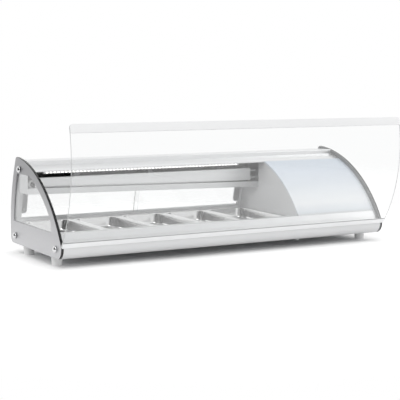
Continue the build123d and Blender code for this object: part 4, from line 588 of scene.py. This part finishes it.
def panLevels(look, low, high):  # inset from the rim, corner radius and height, from the edge inwards
    levels = [(0, look["rimCorner"], high.z - look["rimDrop"])]
    roll, lip, wall = look["rimRoll"], look["rimBend"], look["wallCorner"]
    for rise, run in quarter(look["rollSteps"]):
        levels.append((roll * run, look["rimCorner"] - roll * run, high.z - roll * (1 - rise)))
    for rise, run in quarter(look["rimSteps"]):
        levels.append((look["rimWidth"] - lip + lip * rise, wall - lip * rise, high.z - lip * run))
    bend, floor = look["floorBend"], low.z + look["sheet"]
    for rise, run in quarter(look["bendSteps"]):
        inset = look["rimWidth"] + look["taper"] + bend * run
        levels.append((inset, wall - look["cornerLoss"] - bend * run, floor + bend * (1 - rise)))
    return levels


def pressPan(number, look, material):
    low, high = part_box(f"pan_{number}")
    centre = ((low.x + high.x) / 2, (low.y + high.y) / 2)
    full = ((high.x - low.x) / 2, (high.y - low.y) / 2)
    levels = panLevels(look, low, high)
    points, faces = [], []
    for inset, corner, z in levels:
        points += roundRing(centre, (full[0] - inset, full[1] - inset), corner, z, look["cornerSteps"])
    around = 4 * (look["cornerSteps"] + 1)
    for row in range(len(levels) - 1):
        for i in range(around):
            j = (i + 1) % around
            a, b = row * around, (row + 1) * around
            faces.append((a + i, a + j, b + j, b + i))
    faces.append(tuple(range((len(levels) - 1) * around, len(levels) * around)))
    piece = addPiece(f"pressedPan{number}", points, faces, material, f"pan_{number}_body", f"pan_{number}",
                     look["smoothAngle"])
    wall = piece.modifiers.new("sheet", "SOLIDIFY")
    wall.thickness = look["sheet"]
    wall.offset = -1.0


for number in range(1, pressedPans["count"] + 1):
    pressPan(number, pressedPans, finish("pressedPan"))
print("pans pressed")

# left end plate: outline of the case, with the wide window of the photograph
leftPlate = {
    "outside": -0.6250,
    "thickness": 0.0040,
    "bevel": 0.0003,
    "toe": (-0.15653, 0.0320),       # corners of the outline, as y and z
    "brow": (-0.18153, 0.0720),
    "apex": (0.20847, 0.3290),
    "heel": (0.27313, 0.0320),
    "noseRadius": 0.0380,
    "bowRadius": 0.4750,
    "backRadius": 0.5412,
    "rounding": (0.0010, 0.0010, 0.0160, 0.0250),  # at toe, brow, apex and heel
    "roundSteps": 8,
    "arcSteps": {"nose": 14, "bow": 60, "back": 40, "windowBow": 40, "windowBack": 24},
    "frontMargin": 0.0300,
    "backMargin": 0.0300,
    "head": 0.2730,
    "sill": 0.1087,
    "upright": -0.0995,              # y of the window's short front edge
    "windowRounding": (0.004, 0.060, 0.025, 0.012, 0.004),  # from its front foot over its head to the back
    "screws": [(0.17647, 0.2885), (0.22647, 0.0595), (-0.13653, 0.0615)],
    "screwHole": 0.0043,
    "holeSides": 30,
    "edgeNormal": 0.6,               # faces that point less than this along x are edges
    "edgeBand": 0.015,               # the outer edge lies within this of the arcs
    "sillBand": 0.002,
    "smoothAngle": 25,
}


def arcPoints(start, end, centre, count):  # from start to end round a centre
    a = atan2(start[1] - centre[1], start[0] - centre[0])
    b = atan2(end[1] - centre[1], end[0] - centre[0])
    b = a + (b - a + pi) % (2 * pi) - pi
    radius = sqrt((start[0] - centre[0]) ** 2 + (start[1] - centre[1]) ** 2)
    steps = [a + (b - a) * i / count for i in range(count + 1)]
    return [(centre[0] + radius * cos(s), centre[1] + radius * sin(s)) for s in steps]


def arcCentre(start, end, radius):  # to the right of the way from start to end
    across = Vector((end[0] - start[0], end[1] - start[1]))
    drop = sqrt(radius**2 - (across.length / 2) ** 2)
    side = Vector((across.y, -across.x)).normalized() * drop
    return ((start[0] + end[0]) / 2 + side.x, (start[1] + end[1]) / 2 + side.y)


def cutBack(run, length):  # run shortened at its end
    run = list(run)
    while len(run) > 2 and (Vector(run[-1]) - Vector(run[-2])).length <= length:
        length -= (Vector(run[-1]) - Vector(run[-2])).length
        run.pop()
    step = Vector(run[-1]) - Vector(run[-2])
    run[-1] = tuple(Vector(run[-1]) - step.normalized() * length)
    return run


def roundOff(runs, radii, steps):  # closed outline of runs; radius i rounds the corner where run i begins
    count = len(runs)
    reach = []
    for i in range(count):
        before, after = runs[i - 1], runs[i]
        come = (Vector(before[-1]) - Vector(before[-2])).normalized()
        leave = (Vector(after[1]) - Vector(after[0])).normalized()
        reach.append(radii[i] * tan(come.angle(leave) / 2))
    outline = []
    for i in range(count):
        following = (i + 1) % count
        run = cutBack(runs[i], reach[following])
        run = cutBack(run[::-1], reach[i])[::-1]
        outline += run
        start, corner = Vector(run[-1]), Vector(runs[following][0])
        end = Vector(cutBack(runs[following][::-1], reach[following])[-1])
        for step in range(1, steps):
            t = step / steps
            outline.append(tuple((1 - t) ** 2 * start + 2 * t * (1 - t) * corner + t**2 * end))
    return outline


def flatSpline(curve, outline):
    spline = curve.splines.new("POLY")
    spline.points.add(len(outline) - 1)
    for point, (y, z) in zip(spline.points, outline):
        point.co = (y, z, 0, 1)
    spline.use_cyclic_u = True


def plateRuns(look, bow, back):  # runs of the outline and of the window
    nose = arcCentre(look["toe"], look["brow"], look["noseRadius"])
    count = look["arcSteps"]
    outer = [
        arcPoints(look["toe"], look["brow"], nose, count["nose"]),
        arcPoints(look["brow"], look["apex"], bow, count["bow"]),
        arcPoints(look["apex"], look["heel"], back, count["back"]),
        [look["heel"], look["toe"]],
    ]
    inner = look["bowRadius"] - look["frontMargin"]
    rear = look["backRadius"] - look["backMargin"]
    sill, head = look["sill"], look["head"]
    foot = (look["upright"], sill)
    bend = (look["upright"], bow[1] + sqrt(inner**2 - (look["upright"] - bow[0]) ** 2))
    brow = (bow[0] - sqrt(inner**2 - (head - bow[1]) ** 2), head)
    rearTop = (back[0] + sqrt(rear**2 - (head - back[1]) ** 2), head)
    rearFoot = (back[0] + sqrt(rear**2 - (sill - back[1]) ** 2), sill)
    window = [
        [foot, bend],
        arcPoints(bend, brow, bow, count["windowBow"]),
        [brow, rearTop],
        arcPoints(rearTop, rearFoot, back, count["windowBack"]),
        [rearFoot, foot],
    ]
    return outer, window


def endPlate(look, material, rim):
    bow = arcCentre(look["brow"], look["apex"], look["bowRadius"])
    back = arcCentre(look["apex"], look["heel"], look["backRadius"])
    outer, window = plateRuns(look, bow, back)
    curve = bpy.data.curves.new("leftEndPlate", "CURVE")
    curve.dimensions = "2D"
    curve.fill_mode = "BOTH"
    curve.extrude = look["thickness"] / 2 - look["bevel"]
    curve.bevel_depth = look["bevel"]
    curve.offset = -look["bevel"]
    flatSpline(curve, roundOff(outer, look["rounding"], look["roundSteps"]))
    flatSpline(curve, roundOff(window, look["windowRounding"], look["roundSteps"]))
    radius, sides = look["screwHole"], look["holeSides"]
    ring = [radians(360 / sides * i) for i in range(sides)]
    for y, z in look["screws"]:
        flatSpline(curve, [(y + radius * cos(a), z + radius * sin(a)) for a in ring])
    mesh = evaluated(place("plateCurve", curve))
    middle = look["outside"] + look["thickness"] / 2
    for point in mesh.vertices:
        point.co = (middle + point.co.z, point.co.x, point.co.y)
    tidyNormals(mesh)
    mesh.materials.clear()
    mesh.materials.append(material)
    mesh.materials.append(rim)
    for face in mesh.polygons:
        fromBow = (Vector(face.center.yz) - Vector(bow)).length
        fromBack = (Vector(face.center.yz) - Vector(back)).length
        within = (fromBow < look["bowRadius"] - look["edgeBand"]
                  and fromBack < look["backRadius"] - look["edgeBand"]
                  and face.center.z > look["sill"] - look["sillBand"])
        face.material_index = 1 if abs(face.normal.x) < look["edgeNormal"] and not within else 0
    mesh.name = "leftEndPlate"
    settle("leftEndPlate", mesh, "case", "left_end_plate", look["smoothAngle"])


endPlate(leftPlate, plateWithPaintedShade("leftPlateFace", False), plateWithPaintedShade("platePaintedEdgeShade", True))
print("left end plate cut")


# Geometry Nodes: a tree with named inputs, its usual end, and its result as a plain mesh
def newTree(name, inputs):
    tree = bpy.data.node_groups.new(name, "GeometryNodeTree")
    tree.interface.new_socket("Geometry", in_out="INPUT", socket_type="NodeSocketGeometry")
    for label, kind in inputs.items():
        tree.interface.new_socket(label, in_out="INPUT", socket_type=kind)
    tree.interface.new_socket("Geometry", in_out="OUTPUT", socket_type="NodeSocketGeometry")
    given = tree.nodes.new("NodeGroupInput").outputs
    return tree, given, tree.nodes.new("NodeGroupOutput").inputs[0]


def onPoints(tree, points, instance):
    node = tree.nodes.new("GeometryNodeInstanceOnPoints")
    tree.links.new(points, node.inputs["Points"])
    tree.links.new(instance, node.inputs["Instance"])
    return node


def coated(tree, instances, given, result):
    real = tree.nodes.new("GeometryNodeRealizeInstances")
    tree.links.new(instances, real.inputs[0])
    coat = tree.nodes.new("GeometryNodeSetMaterial")
    tree.links.new(real.outputs[0], coat.inputs["Geometry"])
    tree.links.new(given["Finish"], coat.inputs["Material"])
    tree.links.new(coat.outputs[0], result)


def growMesh(name, tree, start, values):
    mesh = bpy.data.meshes.new(name)
    mesh.from_pydata(start, [], [])
    holder = place(name + "Seed", mesh)
    grow = holder.modifiers.new("grow", "NODES")
    grow.node_group = tree
    for socket in tree.interface.items_tree:
        if socket.in_out == "INPUT" and socket.name in values:
            grow[socket.identifier] = values[socket.name]
    grown = evaluated(holder)
    grown.name = name
    tidyNormals(grown)
    return grown


# domed screws of both ends: a turned cap on a short rim
domedScrews = {
    "spots": leftPlate["screws"],
    "face": -leftPlate["outside"],
    "radius": 0.0115,
    "crown": 0.0070,
    "rim": 0.0030,
    "segments": 48,
    "rings": 24,
    "smoothAngle": 60,
}


def screwTree():
    sizes = {"Radius": "NodeSocketFloat", "Crown": "NodeSocketFloat", "Rim": "NodeSocketFloat",
             "Segments": "NodeSocketInt", "Rings": "NodeSocketInt", "Lean": "NodeSocketFloat",
             "Finish": "NodeSocketMaterial"}
    tree, given, result = newTree("domedScrew", sizes)
    ball = tree.nodes.new("GeometryNodeMeshUVSphere")
    ball.inputs["Radius"].default_value = 1.0
    for count in ("Segments", "Rings"):
        tree.links.new(given[count], ball.inputs[count])
    cap = tree.nodes.new("GeometryNodeTransform")
    tree.links.new(ball.outputs["Mesh"], cap.inputs["Geometry"])
    tree.links.new(combined(tree, given["Radius"], given["Radius"], given["Crown"]), cap.inputs["Scale"])
    tree.links.new(combined(tree, 0.0, 0.0, given["Rim"]), cap.inputs["Translation"])
    parts = partsOf(tree, tree.nodes.new("GeometryNodeInputPosition").outputs[0])
    seat = tree.nodes.new("GeometryNodeSetPosition")  # what lies below the seat is pressed flat
    tree.links.new(cap.outputs[0], seat.inputs["Geometry"])
    flat = combined(tree, parts["X"], parts["Y"], maths(tree, "MAXIMUM", parts["Z"], 0.0))
    tree.links.new(flat, seat.inputs["Position"])
    spots = onPoints(tree, given["Geometry"], seat.outputs[0])
    tree.links.new(combined(tree, 0.0, given["Lean"]), spots.inputs["Rotation"])
    coated(tree, spots.outputs[0], given, result)
    return tree


def turnScrews(look, tree, side, name, material):
    spots = [(side * look["face"], y, z) for y, z in look["spots"]]
    caps = growMesh(name, tree, spots, {
        "Radius": look["radius"], "Crown": look["crown"], "Rim": look["rim"], "Segments": look["segments"],
        "Rings": look["rings"], "Lean": side * pi / 2, "Finish": material,
    })
    settle(name, caps, "case", "dome_screws", look["smoothAngle"])


capTree = screwTree()
turnScrews(domedScrews, capTree, -1, "domedScrewsLeft", finish("chromeDome"))
turnScrews(domedScrews, capTree, 1, "domedScrewsRight", finish("chromeDome"))
print("domed screws turned")

# lit strip under the top rail: a ribbon and its row of diodes
litStrip = {
    "width": 0.0036,              # of the ribbon, seen from the front
    "depth": (-0.0004, 0.0010),   # its front and back, from the middle of the CAD's strip
    "pitch": 0.0134,
    "diode": (0.0056, 0.0010, 0.0030),
    "diodeDepth": -0.0008,
    "diodeColour": (0.95, 0.95, 0.90),
    "light": (1.0, 0.98, 0.94),
    "glow": 2.2,
}


def litDiode(look):
    material, tree, shader = newMaterial("litDiode")
    shader.inputs["Base Color"].default_value = (*look["diodeColour"], 1)
    shader.inputs["Emission Color"].default_value = (*look["light"], 1)
    shader.inputs["Emission Strength"].default_value = look["glow"]
    return material


def stripTree():
    sizes = {"Count": "NodeSocketInt", "Pitch": "NodeSocketFloat", "Diode": "NodeSocketVector",
             "Finish": "NodeSocketMaterial"}
    tree, given, result = newTree("diodeRow", sizes)
    line = tree.nodes.new("GeometryNodeMeshLine")
    tree.links.new(given["Count"], line.inputs["Count"])
    tree.links.new(combined(tree, given["Pitch"]), line.inputs["Offset"])
    block = tree.nodes.new("GeometryNodeMeshCube")
    tree.links.new(given["Diode"], block.inputs["Size"])
    row = onPoints(tree, line.outputs[0], block.outputs["Mesh"])
    start = onPoints(tree, given["Geometry"], row.outputs[0])
    coated(tree, start.outputs[0], given, result)
    return tree


def ribbon(look, material, diodes):
    low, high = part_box("led_strip")
    y, z = (low.y + high.y) / 2, (low.z + high.z) / 2
    count = int((high.x - low.x) / look["pitch"])
    start = (low.x + (high.x - low.x - (count - 1) * look["pitch"]) / 2, y + look["diodeDepth"], z)
    half, (front, back) = look["width"] / 2, look["depth"]
    points = [(x, y + depth, z + rise) for x in (low.x, high.x)
              for depth, rise in ((front, -half), (front, half), (back, half), (back, -half))]
    faces = [(0, 1, 5, 4), (1, 2, 6, 5), (2, 3, 7, 6), (3, 0, 4, 7), (3, 2, 1, 0), (4, 5, 6, 7)]
    band = addPiece("diodeRibbon", points, faces, material, "case", "led_strip")
    tidyNormals(band.data)
    row = growMesh("diodeRow", stripTree(), [start], {
        "Count": count, "Pitch": look["pitch"], "Diode": look["diode"], "Finish": diodes,
    })
    settle("diodeRow", row, "case", "led_strip")


ribbon(litStrip, finish("whiteTrack"), litDiode(litStrip))
print("lit strip set")

# CAD pieces that keep their mesh, by finish
dressed = {
    "anodised": ["top_rail", "light_bar", "glass_hinge_bar", "evaporator"],
    "frontBand": ["front_profile"],
    "whiteTrack": ["back_profile", "bottom_track", "top_track", "door_jambs"],
    "greyLinerPaintedShade": ["right_inner_panel"],
    "chromeDome": ["panel_screws"],
    "smokedGrip": ["glass_grip"],
    "frostPull": ["door_pull_left", "door_pull_right"],
    "deckSteel": ["well", "deck", "pan_bars"],
    "coatedWall": ["divider"],
    "foamBoard": ["insulation"],
    "hangerSteel": ["evaporator_hangers"],
    "evaporatorTube": ["evaporator_tube"],
    "paleFoot": ["feet"],
    "zincSheet": ["base_pan", "control_panel", "louvred_panel", "condenser", "fan_shroud"],
    "blackRubber": ["tube_grommets", "compressor_mounts", "drain_hose"],
    "blackEnamel": ["compressor", "fan_motor"],
    "darkPlastic": ["temperature_controller", "switch_housings", "cable_gland", "fan_blades"],
    "greenRocker": ["power_rocker", "light_rocker"],
    "copperTube": ["filter_drier", "refrigerant_lines"],
    "whiteHousing": ["drain_outlet", "controller_key_1", "controller_key_2", "controller_key_3",
                     "controller_key_4"],
}


def dress(material, *names):
    for name in names:
        for slot in nodes[name].material_slots:
            slot.material = material


for name, pieces in dressed.items():
    dress(finish(name), *pieces)
dress(clearSheet("endPane"), "left_side_pane")
dress(clearSheet("doorSheet"), "rear_door_left", "rear_door_right")
dress(plateWithPaintedShade("rightPlateFace", True), "right_end_plate")
dress(trayPaintedReflection(), "drip_tray")
dress(coverPaintedLight(), "compressor_cover")
print("CAD pieces dressed")
